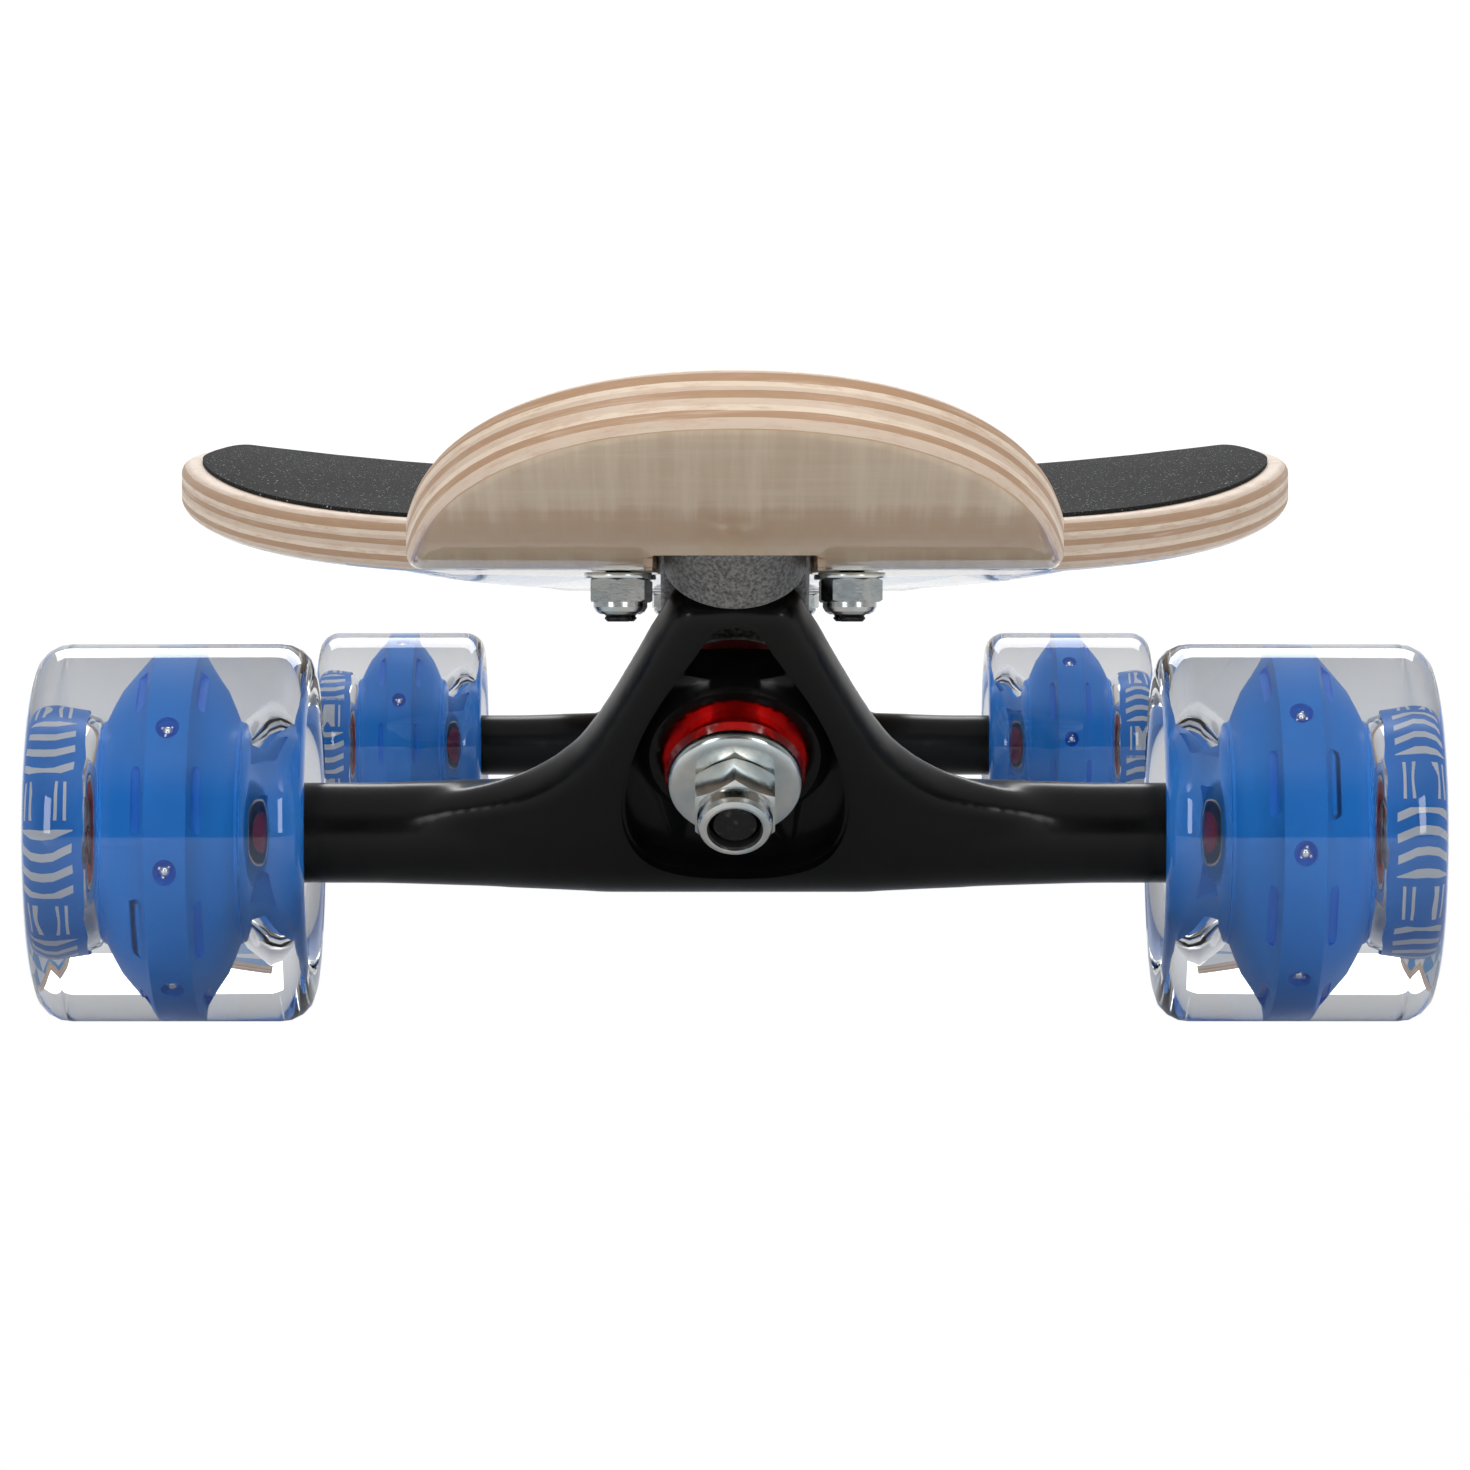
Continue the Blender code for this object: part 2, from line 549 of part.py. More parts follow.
def build_hanger():
    # outlines are in x and t along the pivot axis; the frame turns them to face along the kingpin
    turn = Matrix(((1, 0, 0, 0), (0, -1, 0, KINGPIN_OFFSET), (0, 0, 1, 0), (0, 0, 0, 1)))
    facing = KINGPIN_FRAME @ turn
    plate = prism("hanger", hanger_outline(), PLATE_BACK, PLATE_FRONT, facing)
    end = HANGER_WIDTH / 2
    belly = [(-end, TUBE_RADIUS), (-0.06, TUBE_RADIUS), (-0.03, TUBE_BELLY_RADIUS)]
    tube = turned("tube", belly + [(-x, r) for x, r in reversed(belly)], 24, AXLE_FRAME, bored=False)
    pocket = prism("pocket", window_outline(), ROADSIDE_SEAT, PLATE_FRONT + 0.012, facing)
    ring = turned("ring", [(ROADSIDE_SEAT - 0.001, RING_RADIUS), (RING_LIP, RING_RADIUS)], 24,
                  KINGPIN_FRAME, bored=False)
    seat_radius = BUSHING_RADIUS + GAP
    road_seat = turned("road_seat", [(ROADSIDE_SEAT, seat_radius), (0.04, seat_radius)], 20,
                       KINGPIN_FRAME, bored=False)
    board_seat = turned("board_seat", [(-0.04, seat_radius), (BOARDSIDE_SEAT, seat_radius)], 20,
                        KINGPIN_FRAME, bored=False)
    hole = turned("hole", [(-0.02, RING_HOLE_RADIUS), (0.02, RING_HOLE_RADIUS)], 20, KINGPIN_FRAME, bored=False)
    slot = prism("slot", slot_above_ring(), -0.02, 0.03, facing)
    neck_tip = PIVOT_REACH + PIVOT_CUP_DEPTH - PIVOT_CUP_WALL - GAP
    neck_end = PIVOT_CUP_RADIUS - PIVOT_CUP_WALL - 2 * GAP
    neck = turned("neck", [(SHOULDER_REACH - 0.004, PIVOT_NECK), (PIVOT_REACH - 0.002, neck_end),
                           (neck_tip - 0.0015, neck_end - 0.0009), (neck_tip, neck_end - 0.002)], 20,
                  PIVOT_FRAME, bored=False)
    bore = turned("bore", [(-0.1, AXLE_RADIUS + GAP), (0.1, AXLE_RADIUS + GAP)], 16, AXLE_FRAME, bored=False)
    return shaped(plate, ("UNION", tube), ("DIFFERENCE", pocket), ("UNION", ring), ("DIFFERENCE", road_seat),
                  ("DIFFERENCE", board_seat), ("DIFFERENCE", hole), ("DIFFERENCE", slot), ("UNION", neck),
                  ("DIFFERENCE", bore))


def build_axle():
    chamfer = 0.0006
    loop = [(-AXLE_END, AXLE_RADIUS - chamfer), (-AXLE_END + chamfer, AXLE_RADIUS)]
    return turned("axle", loop + [(-x, r) for x, r in reversed(loop)], 16, bored=False)


# ---------------------------------------------------------------- wheels
def both_sides(half):
    """A turned loop from its half at positive z, listed from outside to inside."""
    return [(-along, radius) for along, radius in reversed(half)] + half


def build_tyre():
    facets = 36
    tread = WHEEL_RADIUS / math.cos(math.pi / facets)
    edge = WHEEL_WIDTH / 2
    fit = CORE_RADIUS + GAP
    ridge = CORE_RIDGE_RADIUS + GAP
    lip = [(edge - WHEEL_LIP * 0.8, tread), (edge, tread - WHEEL_LIP * 0.8)]
    cavity = [(CORE_WIDTH / 2, fit), (CORE_RIDGE_WIDTH / 2 + GAP, ridge)]
    outboard = lip + [(edge, MOUTH_RADIUS + 0.0022), (edge - 0.0022, MOUTH_RADIUS)] + cavity
    inboard = lip + [(edge - 0.003, DISH_RADIUS)] + cavity
    loop = outboard + [(-along, radius) for along, radius in reversed(inboard)]
    return turned("tyre", loop, facets, half_step=True)


def build_core():
    half = CORE_WIDTH / 2
    pocket = BEARING_RADIUS + GAP
    wall = BEARING_INNER - GAP
    outside = [(half, CORE_RADIUS), (CORE_RIDGE_WIDTH / 2, CORE_RIDGE_RADIUS)]
    inside = [(half, pocket), (wall, pocket), (wall, pocket - 0.0025)]
    loop = outside + [(-along, radius) for along, radius in reversed(outside)]
    loop += [(-along, radius) for along, radius in inside] + list(reversed(inside))
    return turned("core", loop, 20)


def build_bearing():
    bore = AXLE_RADIUS + GAP
    loop = [(0.0, bore), (0.0, BEARING_RADIUS), (BEARING_WIDTH, BEARING_RADIUS), (BEARING_WIDTH, bore)]
    return turned("bearing", loop, 20)


def build_bolt():
    """A mounting bolt under its head at z = 0, reaching down through flange, deck, washer and nut."""
    length = FLANGE_THICKNESS + DECK_THICKNESS + WASHER_THICKNESS + MOUNT_NUT_HEIGHT + BOLT_PROUD + 3 * GAP
    loop = [(-length, BOLT_RADIUS - 0.0004), (-length + 0.0004, BOLT_RADIUS), (0.0, BOLT_RADIUS),
            (0.0, BOLT_HEAD_RADIUS), (BOLT_HEAD_HEIGHT * 0.55, BOLT_HEAD_RADIUS),
            (BOLT_HEAD_HEIGHT, BOLT_HEAD_RADIUS * 0.62)]
    return turned("bolt", loop, 12, bored=False)


# ---------------------------------------------------------------- materials
def materials():
    return {
        "wood": material("maple", (0.72, 0.55, 0.38), 0.35),
        "grip": material("grip_tape", (0.03, 0.03, 0.032), 0.95),
        "cast": material("cast_metal", (0.42, 0.43, 0.45), 0.5, 0.9),
        "black": material("black_coating", (0.008, 0.008, 0.009), 0.22),
        "zinc": material("zinc_plate", (0.66, 0.69, 0.70), 0.25, 1.0),
        "steel": material("bolt_black", (0.03, 0.03, 0.032), 0.35, 0.8),
        "bushing": material("red_urethane", (0.75, 0.02, 0.02), 0.15, 0.0, 0.7),
        "cup": material("pivot_plastic", (0.9, 0.9, 0.88), 0.4),
        "tyre": material("clear_urethane", (0.93, 0.95, 0.97), 0.03, 0.0, 1.0),
        "core": material("blue_plastic", (0.0, 0.20, 0.72), 0.3),
        "shield": material("bearing_steel", (0.60, 0.60, 0.62), 0.28, 1.0),
    }


# ---------------------------------------------------------------- assembly
def build_truck_meshes():
    boardside_end = KINGPIN_FACE + CUP_WASHER_THICKNESS + 2 * GAP
    return {
        "baseplate": build_baseplate(),
        "pivot_cup": build_pivot_cup(),
        "kingpin": build_kingpin(),
        "bushing_boardside": build_bushing(BOARDSIDE_SEAT - GAP, boardside_end),
        "bushing_roadside": build_bushing(ROADSIDE_SEAT + GAP, ROADSIDE_WASHER - GAP),
        "washer_boardside": build_cup_washer(boardside_end - GAP, 1),
        "washer_roadside": build_cup_washer(ROADSIDE_WASHER, -1),
        "kingpin_nut": build_lock_nut(KINGPIN_NUT_FLATS, KINGPIN_NUT_HEIGHT, KINGPIN_RADIUS + GAP),
        "hanger": build_hanger(),
        "axle": build_axle(),
        "axle_nut": build_lock_nut(AXLE_NUT_FLATS, AXLE_NUT_HEIGHT, AXLE_RADIUS + GAP),
        "tyre": build_tyre(),
        "core": build_core(),
        "bearing": build_bearing(),
        "bolt": build_bolt(),
        "mount_nut": build_lock_nut(MOUNT_NUT_FLATS, MOUNT_NUT_HEIGHT, BOLT_RADIUS + GAP,
                                    (WASHER_RADIUS, WASHER_THICKNESS)),
    }


def build_wheel(end, side, steer, world, meshes, finishes):
    """One wheel on a truck's axle. Side is -1 or 1 across the truck's own frame."""
    outward = frame_along(ACROSS * side, AXLE_CENTRE + ACROSS * side * WHEEL_CENTRE)
    label = "left" if (world @ outward).translation.x < 0 else "right"
    hub = empty(f"{end}_{label}_hub", steer, world @ outward)
    prefix = f"{end}_{label}"
    place(f"{prefix}_wheel", meshes["tyre"], finishes["tyre"], hub, world @ outward)
    place(f"{prefix}_core", meshes["core"], finishes["core"], hub, world @ outward)
    outboard = outward @ Matrix.Translation((0.0, 0.0, BEARING_INNER))
    inboard = outward @ Matrix.Translation((0.0, 0.0, -BEARING_INNER - BEARING_WIDTH))
    place(f"{prefix}_bearing_outboard", meshes["bearing"], finishes["shield"], hub, world @ outboard)
    place(f"{prefix}_bearing_inboard", meshes["bearing"], finishes["shield"], hub, world @ inboard)
    nut = outward @ Matrix.Translation((0.0, 0.0, AXLE_NUT_START - WHEEL_CENTRE))
    place(f"{prefix}_axle_nut", meshes["axle_nut"], finishes["zinc"], steer, world @ nut, 25)


def build_truck(end, world, meshes, finishes):
    truck = empty(f"{end}_truck", None, world)
    steer = empty(f"{end}_steer_axis", truck, world @ PIVOT_FRAME)
    place(f"{end}_baseplate", meshes["baseplate"], finishes["cast"], truck, world)
    place(f"{end}_pivot_cup", meshes["pivot_cup"], finishes["cup"], truck, world @ PIVOT_FRAME)
    on_kingpin = world @ KINGPIN_FRAME
    place(f"{end}_kingpin", meshes["kingpin"], finishes["steel"], truck, on_kingpin)
    for name, finish in (("bushing_boardside", "bushing"), ("bushing_roadside", "bushing"),
                         ("washer_boardside", "zinc"), ("washer_roadside", "zinc")):
        place(f"{end}_{name}", meshes[name], finishes[finish], truck, on_kingpin)
    corner_up = Matrix.Rotation(math.radians(30), 4, "Z")
    nut = on_kingpin @ Matrix.Translation((0.0, 0.0, KINGPIN_NUT_START)) @ corner_up
    place(f"{end}_kingpin_nut", meshes["kingpin_nut"], finishes["zinc"], truck, nut, 25)
    place(f"{end}_hanger", meshes["hanger"], finishes["black"], steer, world)
    place(f"{end}_axle", meshes["axle"], finishes["zinc"], steer, world @ AXLE_FRAME)
    for side in (-1, 1):
        build_wheel(end, side, steer, world, meshes, finishes)
    upside_down = Matrix.Rotation(math.pi, 4, "X")
    for number, (x, y) in enumerate(bolt_places(), start=1):
        head = Matrix.Translation((x, y, FLANGE_TOP + GAP))
        under = Matrix.Translation((x, y, DECK_CLEARANCE - GAP - WASHER_THICKNESS)) @ upside_down
        place(f"{end}_mount_bolt_{number}", meshes["bolt"], finishes["steel"], truck, world @ head)
        place(f"{end}_mount_nut_{number}", meshes["mount_nut"], finishes["zinc"], truck, world @ under, 25)


def main():
    for item in list(bpy.data.objects):
        bpy.data.objects.remove(item, do_unlink=True)
    finishes = materials()
    rear = Matrix.Translation((0.0, WHEELBASE / 2, 0.0))
    front = Matrix.Rotation(math.pi, 4, "Z") @ rear
    deck, tape = build_deck((front, rear))
    place("deck", deck, finishes["wood"], None, Matrix.Identity(4))
    place("grip_tape", tape, finishes["grip"], None, Matrix.Identity(4))
    meshes = build_truck_meshes()
    build_truck("front", front, meshes, finishes)
    build_truck("rear", rear, meshes, finishes)


main()
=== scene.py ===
# %% [markdown]
# # A drop-through longboard
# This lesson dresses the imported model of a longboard: a laminated deck, two reverse-kingpin trucks
# and four clear wheels cast round blue cores. The frame holds every place and every joint, so each
# finished piece is put where the frame says and rides on the body that carries it.

# %% The frame
import json
import math

import bpy
from mathutils import Matrix, Vector


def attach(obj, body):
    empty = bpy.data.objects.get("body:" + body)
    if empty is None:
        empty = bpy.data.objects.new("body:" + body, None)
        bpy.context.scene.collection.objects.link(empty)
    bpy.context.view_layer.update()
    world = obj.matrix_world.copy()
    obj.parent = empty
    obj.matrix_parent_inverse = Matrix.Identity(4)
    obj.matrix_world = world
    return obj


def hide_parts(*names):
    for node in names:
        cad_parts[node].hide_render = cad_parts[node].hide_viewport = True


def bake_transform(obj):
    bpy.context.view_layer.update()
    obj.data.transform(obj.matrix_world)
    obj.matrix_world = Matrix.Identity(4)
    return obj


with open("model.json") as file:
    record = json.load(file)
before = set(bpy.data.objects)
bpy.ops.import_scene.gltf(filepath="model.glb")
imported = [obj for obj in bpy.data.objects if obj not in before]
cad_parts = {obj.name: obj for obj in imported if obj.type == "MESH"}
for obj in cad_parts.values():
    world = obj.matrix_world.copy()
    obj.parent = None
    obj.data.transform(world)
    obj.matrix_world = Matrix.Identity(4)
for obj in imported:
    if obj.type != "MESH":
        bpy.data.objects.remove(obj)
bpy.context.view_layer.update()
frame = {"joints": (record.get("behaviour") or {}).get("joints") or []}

ENDS = ("front", "rear")

# %% [markdown]
# ## Camera and studio
# The board is seen head on, low and from a little over a metre, with a long lens. A white room
# lights it evenly. Clear wheels need something darker to bend, or their edges vanish, so the room's
# two sides are grey. Only light that bounces or bends sees the grey: straight on, the room is white.

# %% Camera
scene = bpy.context.scene
scene.view_settings.view_transform = "Standard"
CAMERA_HEIGHT = 0.075
CAMERA_DISTANCE = 1.501
CAMERA_DIP = math.radians(1.124)
LENS_MM = 148.5

lens = bpy.data.cameras.new("camera")
lens.lens = LENS_MM
lens.sensor_width = 36.0
lens.clip_end = 20.0
camera = bpy.data.objects.new("camera", lens)
camera.location = (0.0, -CAMERA_DISTANCE, CAMERA_HEIGHT)
camera.rotation_euler = (math.pi / 2 - CAMERA_DIP, 0.0, 0.0)
scene.collection.objects.link(camera)
scene.camera = camera


# %% Shader maths
class Value:
    """A number on its way through a material. The usual signs add Math nodes."""

    def __init__(self, graph, socket):
        self.graph = graph
        self.socket = socket

    def math(self, operation, *others, first=None):
        operands = [first, self] if first is not None else [self, *others]
        inputs = dict(enumerate(operands))
        return self.graph.node("ShaderNodeMath", {"operation": operation}, inputs)

    def __add__(self, other):
        return self.math("ADD", other)

    def __sub__(self, other):
        return self.math("SUBTRACT", other)

    def __rsub__(self, other):
        return self.math("SUBTRACT", first=other)

    def __mul__(self, other):
        return self.math("MULTIPLY", other)

    def __truediv__(self, other):
        return self.math("DIVIDE", other)

    def __abs__(self):
        return self.math("ABSOLUTE")

    __radd__ = __add__
    __rmul__ = __mul__

    def above(self, edge):
        return self.math("GREATER_THAN", edge)

    def below(self, edge):
        return self.math("LESS_THAN", edge)

    def saw(self):
        return self.math("FRACT")

    def ramp(self, low, high):
        """0 below low, 1 above high, smooth between."""
        inputs = {"Value": self, "From Min": low, "From Max": high}
        settings = {"interpolation_type": "SMOOTHSTEP"}
        return self.graph.node("ShaderNodeMapRange", settings, inputs)


class Finish:
    """One material: a Principled shader and the nodes that feed it."""

    def __init__(self, name, roughness=0.5, **constants):
        self.material = bpy.data.materials.new(name)
        self.material.use_nodes = True
        self.tree = self.material.node_tree
        self.shader = self.tree.nodes["Principled BSDF"]
        self.set(Roughness=roughness, **constants)

    def set(self, **sockets):
        """Constants and links for the shader's sockets, with _ for a space in a name."""
        for name, value in sockets.items():
            self.feed(self.shader.inputs[name.replace("_", " ")], value)

    def feed(self, socket, value):
        if isinstance(value, Value):
            self.tree.links.new(value.socket, socket)
        elif isinstance(value, tuple) and len(value) == 3 and socket.type == "RGBA":
            socket.default_value = (*value, 1.0)
        else:
            socket.default_value = value

    def node(self, kind, settings=None, inputs=None, output=0):
        made = self.tree.nodes.new(kind)
        for name, value in (settings or {}).items():
            setattr(made, name, value)
        for name, value in (inputs or {}).items():
            self.feed(made.inputs[name], value)
        return Value(self, made.outputs[output])

    def place(self):
        return self.node("ShaderNodeTexCoord", output="Object")

    def attribute(self, name):
        return self.node("ShaderNodeAttribute", {"attribute_name": name}, output="Vector")

    def split(self, vector):
        node = self.tree.nodes.new("ShaderNodeSeparateXYZ")
        self.tree.links.new(vector.socket, node.inputs[0])
        return [Value(self, output) for output in node.outputs]

    def stretch(self, vector, scale):
        return self.node("ShaderNodeVectorMath", {"operation": "MULTIPLY"}, {0: vector, 1: scale})

    def noise(self, vector, scale, detail=3.0, roughness=0.5):
        inputs = {"Vector": vector, "Scale": scale, "Detail": detail, "Roughness": roughness}
        return self.node("ShaderNodeTexNoise", None, inputs)

    def cells(self, vector, scale, output="Distance"):
        return self.node("ShaderNodeTexVoronoi", None, {"Vector": vector, "Scale": scale}, output)

    def mix(self, share, low, high):
        settings = {"data_type": "RGBA"}
        return self.node("ShaderNodeMix", settings, {0: share, 6: low, 7: high}, 2)

    def bands(self, value, stops, steps="LINEAR"):
        """Colours along a value from 0 to 1: stops are (place, colour)."""
        node = self.tree.nodes.new("ShaderNodeValToRGB")
        ramp = node.color_ramp
        ramp.interpolation = steps
        ramp.elements.remove(ramp.elements[-1])
        ramp.elements[0].position = stops[0][0]
        ramp.elements[0].color = (*stops[0][1], 1.0)
        for place, colour in stops[1:]:
            ramp.elements.new(place).color = (*colour, 1.0)
        self.tree.links.new(value.socket, node.inputs[0])
        return Value(self, node.outputs[0])

    def bump(self, height, strength, distance):
        inputs = {"Height": height, "Strength": strength, "Distance": distance}
        normal = self.node("ShaderNodeBump", None, inputs)
        self.set(Normal=normal)


# %% Room
floor_finish = Finish("pale_floor", 0.6)
grain = floor_finish.noise(floor_finish.place(), 3.0)
floor_finish.set(Base_Color=floor_finish.mix(grain, (0.86, 0.86, 0.86), (0.90, 0.90, 0.90)))
table_glow = floor_finish.node("ShaderNodeEmission", None, {"Color": (1.0, 1.0, 1.0), "Strength": 1.0})
eye = floor_finish.node("ShaderNodeLightPath")
lit = floor_finish.tree.nodes.new("ShaderNodeMixShader")
floor_finish.feed(lit.inputs[0], eye)
floor_finish.tree.links.new(floor_finish.shader.outputs[0], lit.inputs[1])
floor_finish.feed(lit.inputs[2], table_glow)
surface = floor_finish.tree.nodes["Material Output"].inputs["Surface"]
floor_finish.tree.links.new(lit.outputs[0], surface)
bpy.ops.mesh.primitive_plane_add(size=6.0, location=(0.0, 0.0, 0.0))
floor = bpy.context.object
floor.name = "floor"
floor.data.materials.append(floor_finish.material)

world = bpy.data.worlds.new("room")
scene.world = world
world.use_nodes = True
tree = world.node_tree
tree.nodes.clear()


def room_node(kind, settings, inputs):
    made = tree.nodes.new(kind)
    for name, value in settings.items():
        setattr(made, name, value)
    for name, value in inputs.items():
        if hasattr(value, "is_output"):
            tree.links.new(value, made.inputs[name])
        else:
            made.inputs[name].default_value = value
    return made.outputs


def fade(value, low, high, at_low, at_high):
    limits = {"Value": value, "From Min": low, "From Max": high, "To Min": at_low, "To Max": at_high}
    return room_node("ShaderNodeMapRange", {"interpolation_type": "SMOOTHSTEP"}, limits)[0]


heading = room_node("ShaderNodeTexCoord", {}, {})["Generated"]
way = room_node("ShaderNodeSeparateXYZ", {}, {0: heading})
sideways = room_node("ShaderNodeMath", {"operation": "ABSOLUTE"}, {0: way[0]})[0]
walls = fade(sideways, 0.35, 0.9, 0.95, 0.45)
front = fade(way[1], -0.75, 0.05, 0.10, 1.0)
lower = room_node("ShaderNodeMath", {"operation": "MULTIPLY"}, {0: walls, 1: front})[0]
ceiling = fade(way[2], 0.35, 0.8, 0.0, 1.0)
dome = room_node("ShaderNodeMix", {}, {0: ceiling, 2: lower, 3: 0.75})[0]
camera_ray = room_node("ShaderNodeLightPath", {}, {})["Is Camera Ray"]
seen = room_node("ShaderNodeMix", {}, {0: camera_ray, 2: dome, 3: 1.1})[0]
glow = room_node("ShaderNodeBackground", {}, {"Color": (1.0, 1.0, 1.0, 1.0), "Strength": seen})[0]
room_node("ShaderNodeOutputWorld", {}, {0: glow})


def softbox(name, place, target, size, power, shines=True):
    """A plain white area lamp that looks at the target. One that shines is seen in glossy faces."""
    lamp = bpy.data.lights.new(name, "AREA")
    lamp.shape = "RECTANGLE"
    lamp.size, lamp.size_y = size
    lamp.energy = power
    made = bpy.data.objects.new(name, lamp)
    made.location = place
    made.rotation_euler = (Vector(target) - Vector(place)).to_track_quat("-Z", "Y").to_euler()
    made.visible_glossy = shines
    scene.collection.objects.link(made)


softbox("key", (0.0, -1.4, 1.7), (0.0, -0.2, 0.05), (2.6, 1.5), 15.0, False)
softbox("left_strip", (-0.6, -1.35, 0.26), (0.0, -0.4, 0.05), (0.3, 0.4), 2.5)
softbox("right_strip", (0.6, -1.35, 0.26), (0.0, -0.4, 0.05), (0.3, 0.4), 2.5)
softbox("back", (0.0, 1.6, 1.4), (0.0, 0.2, 0.05), (1.6, 0.8), 16.0)


# %% [markdown]
# ## How pieces are made
# A turned piece starts as one point that is extruded along half its outline and spun round its
# axis. A cast or cut piece starts as an outline that is filled and extruded. Both finish with
# modifiers that are applied. A finished piece has its place in its mesh, so that a pattern stays put.

# %% Modelling helpers
MM = 0.001


def edit():
    """Go into edit mode with everything selected."""
    bpy.ops.object.mode_set(mode="EDIT")
    bpy.ops.mesh.select_all(action="SELECT")


def leave():
    bpy.ops.object.mode_set(mode="OBJECT")


def only(piece):
    bpy.ops.object.select_all(action="DESELECT")
    piece.select_set(True)
    bpy.context.view_layer.objects.active = piece


def start_point(name, point):
    """A new mesh of one vertex, in edit mode."""
    bpy.ops.object.select_all(action="DESELECT")
    bpy.ops.mesh.primitive_plane_add(size=MM)
    piece = bpy.context.object
    piece.name = name
    edit()
    bpy.ops.mesh.merge(type="CENTER")
    bpy.ops.transform.translate(value=point)
    return piece


def draw(points):
    """Extrude the selected vertex along points."""
    for before, after in zip(points, points[1:]):
        step = Vector(after) - Vector(before)
        bpy.ops.mesh.extrude_region_move(TRANSFORM_OT_translate={"value": step})


def spun(name, profile, steps=72, ring=False):
    """A turned piece about Z. The profile lists (radius, along) in mm; a ring's closes on itself."""
    points = [(radius * MM, 0.0, along * MM) for radius, along in profile]
    if ring:
        points.append(points[0])
    piece = start_point(name, points[0])
    draw(points)
    bpy.ops.mesh.select_all(action="SELECT")
    bpy.ops.mesh.spin(steps=steps, angle=2 * math.pi, center=(0.0, 0.0, 0.0), axis=(0.0, 0.0, 1.0))
    bpy.ops.mesh.select_all(action="SELECT")
    bpy.ops.mesh.remove_doubles(threshold=0.001 * MM)
    bpy.ops.mesh.normals_make_consistent(inside=False)
    leave()
    return piece


def cut_out(name, outline, low, high):
    """A flat outline in x and y, in mm, filled and extruded from low to high along Z."""
    points = [(x * MM, y * MM, low * MM) for x, y in outline]
    piece = start_point(name, points[0])
    draw([*points, points[0]])
    bpy.ops.mesh.select_all(action="SELECT")
    bpy.ops.mesh.remove_doubles(threshold=0.001 * MM)
    bpy.ops.mesh.select_all(action="SELECT")
    bpy.ops.mesh.edge_face_add()
    rise = (0.0, 0.0, (high - low) * MM)
    bpy.ops.mesh.extrude_region_move(TRANSFORM_OT_translate={"value": rise})
    bpy.ops.mesh.select_all(action="SELECT")
    bpy.ops.mesh.normals_make_consistent(inside=False)
    leave()
    return piece


def modify(piece, kind, **settings):
    """Add one modifier and apply it."""
    only(piece)
    modifier = piece.modifiers.new(kind.lower(), kind)
    for name, value in settings.items():
        setattr(modifier, name, value)
    bpy.ops.object.modifier_apply(modifier=modifier.name)
    return piece


def soften(piece, width, segments=2, degrees=35):
    """Round the sharp edges."""
    return modify(piece, "BEVEL", width=width * MM, segments=segments, limit_method="ANGLE",
                  angle_limit=math.radians(degrees), harden_normals=False)


def joined(pieces):
    """Join pieces into the first one, still as loose parts."""
    bpy.ops.object.select_all(action="DESELECT")
    for piece in pieces:
        piece.select_set(True)
    bpy.context.view_layer.objects.active = pieces[0]
    bpy.ops.object.join()
    return pieces[0]


def outward_normals(piece):
    only(piece)
    edit()
    bpy.ops.mesh.normals_make_consistent(inside=False)
    leave()
    return piece


def combine(piece, operation, tool):
    """Join or cut with a tool, and put the tool away."""
    modify(piece, "BOOLEAN", operation=operation, object=tool, solver="EXACT")
    bpy.data.objects.remove(tool)
    return piece


def settle(piece, matrix):
    """Move a piece by a matrix, into its mesh."""
    piece.data.transform(matrix)
    piece.data.update()
    return piece


def mirrored(half):
    """A closed outline from its right half."""
    return half + [(-x, y) for x, y in reversed(half) if x > 1e-9]


def arc(centre, radius, start, end, steps):
    points = []
    for step in range(steps + 1):
        angle = math.radians(start + (end - start) * step / steps)
        points.append((centre[0] + radius * math.cos(angle), centre[1] + radius * math.sin(angle)))
    return points


def finish(piece, body, look, nodes=(), degrees=35):
    """Shade a piece, give it its finish and seat it on its body, if it has just one."""
    only(piece)
    bpy.ops.object.shade_smooth_by_angle(angle=math.radians(degrees))
    piece.data.materials.clear()
    piece.data.materials.append(look.material)
    if body:
        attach(piece, body)
    if nodes:
        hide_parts(*nodes)
    return piece


def copied(piece, name, matrix):
    """A copy with its own mesh, moved by a matrix."""
    made = piece.copy()
    made.data = piece.data.copy()
    made.name = name
    scene.collection.objects.link(made)
    return settle(made, matrix)


def dress(node, look):
    """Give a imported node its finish."""
    piece = bpy.data.objects[node]
    piece.data.materials.clear()
    piece.data.materials.append(look.material)


# %% [markdown]
# ## Places on a truck
# A truck is worked out once, with X across, Y outward to the board's tip and Z up. The rear truck
# only slides along the board, the front one also turns half round. The steer joint in the frame
# gives the pivot axis, and the kingpin stands square to it.

# %% Truck frames
joints = {joint["name"]: joint for joint in frame["joints"]}
steer = joints["rear_truck_steer"]
WHEELBASE = 2 * steer["pos_m"][1] / MM
AXLE_HEIGHT = steer["pos_m"][2] / MM
PIVOT_AXIS = Vector(steer["axis"]).normalized()
ACROSS = Vector((1.0, 0.0, 0.0))
KINGPIN_AXIS = Vector((0.0, PIVOT_AXIS.z, -PIVOT_AXIS.y))
KINGPIN_OFFSET = 26.4
AXLE_CENTRE = Vector((0.0, 0.0, AXLE_HEIGHT * MM))


def frame_along(axis, centre):
    """A frame whose Z is the axis and whose X runs across the board."""
    across = ACROSS if abs(axis.x) < 0.5 else Vector((0.0, 1.0, 0.0))
    columns = Matrix((across, axis.cross(across), axis)).transposed().to_4x4()
    return Matrix.Translation(centre) @ columns


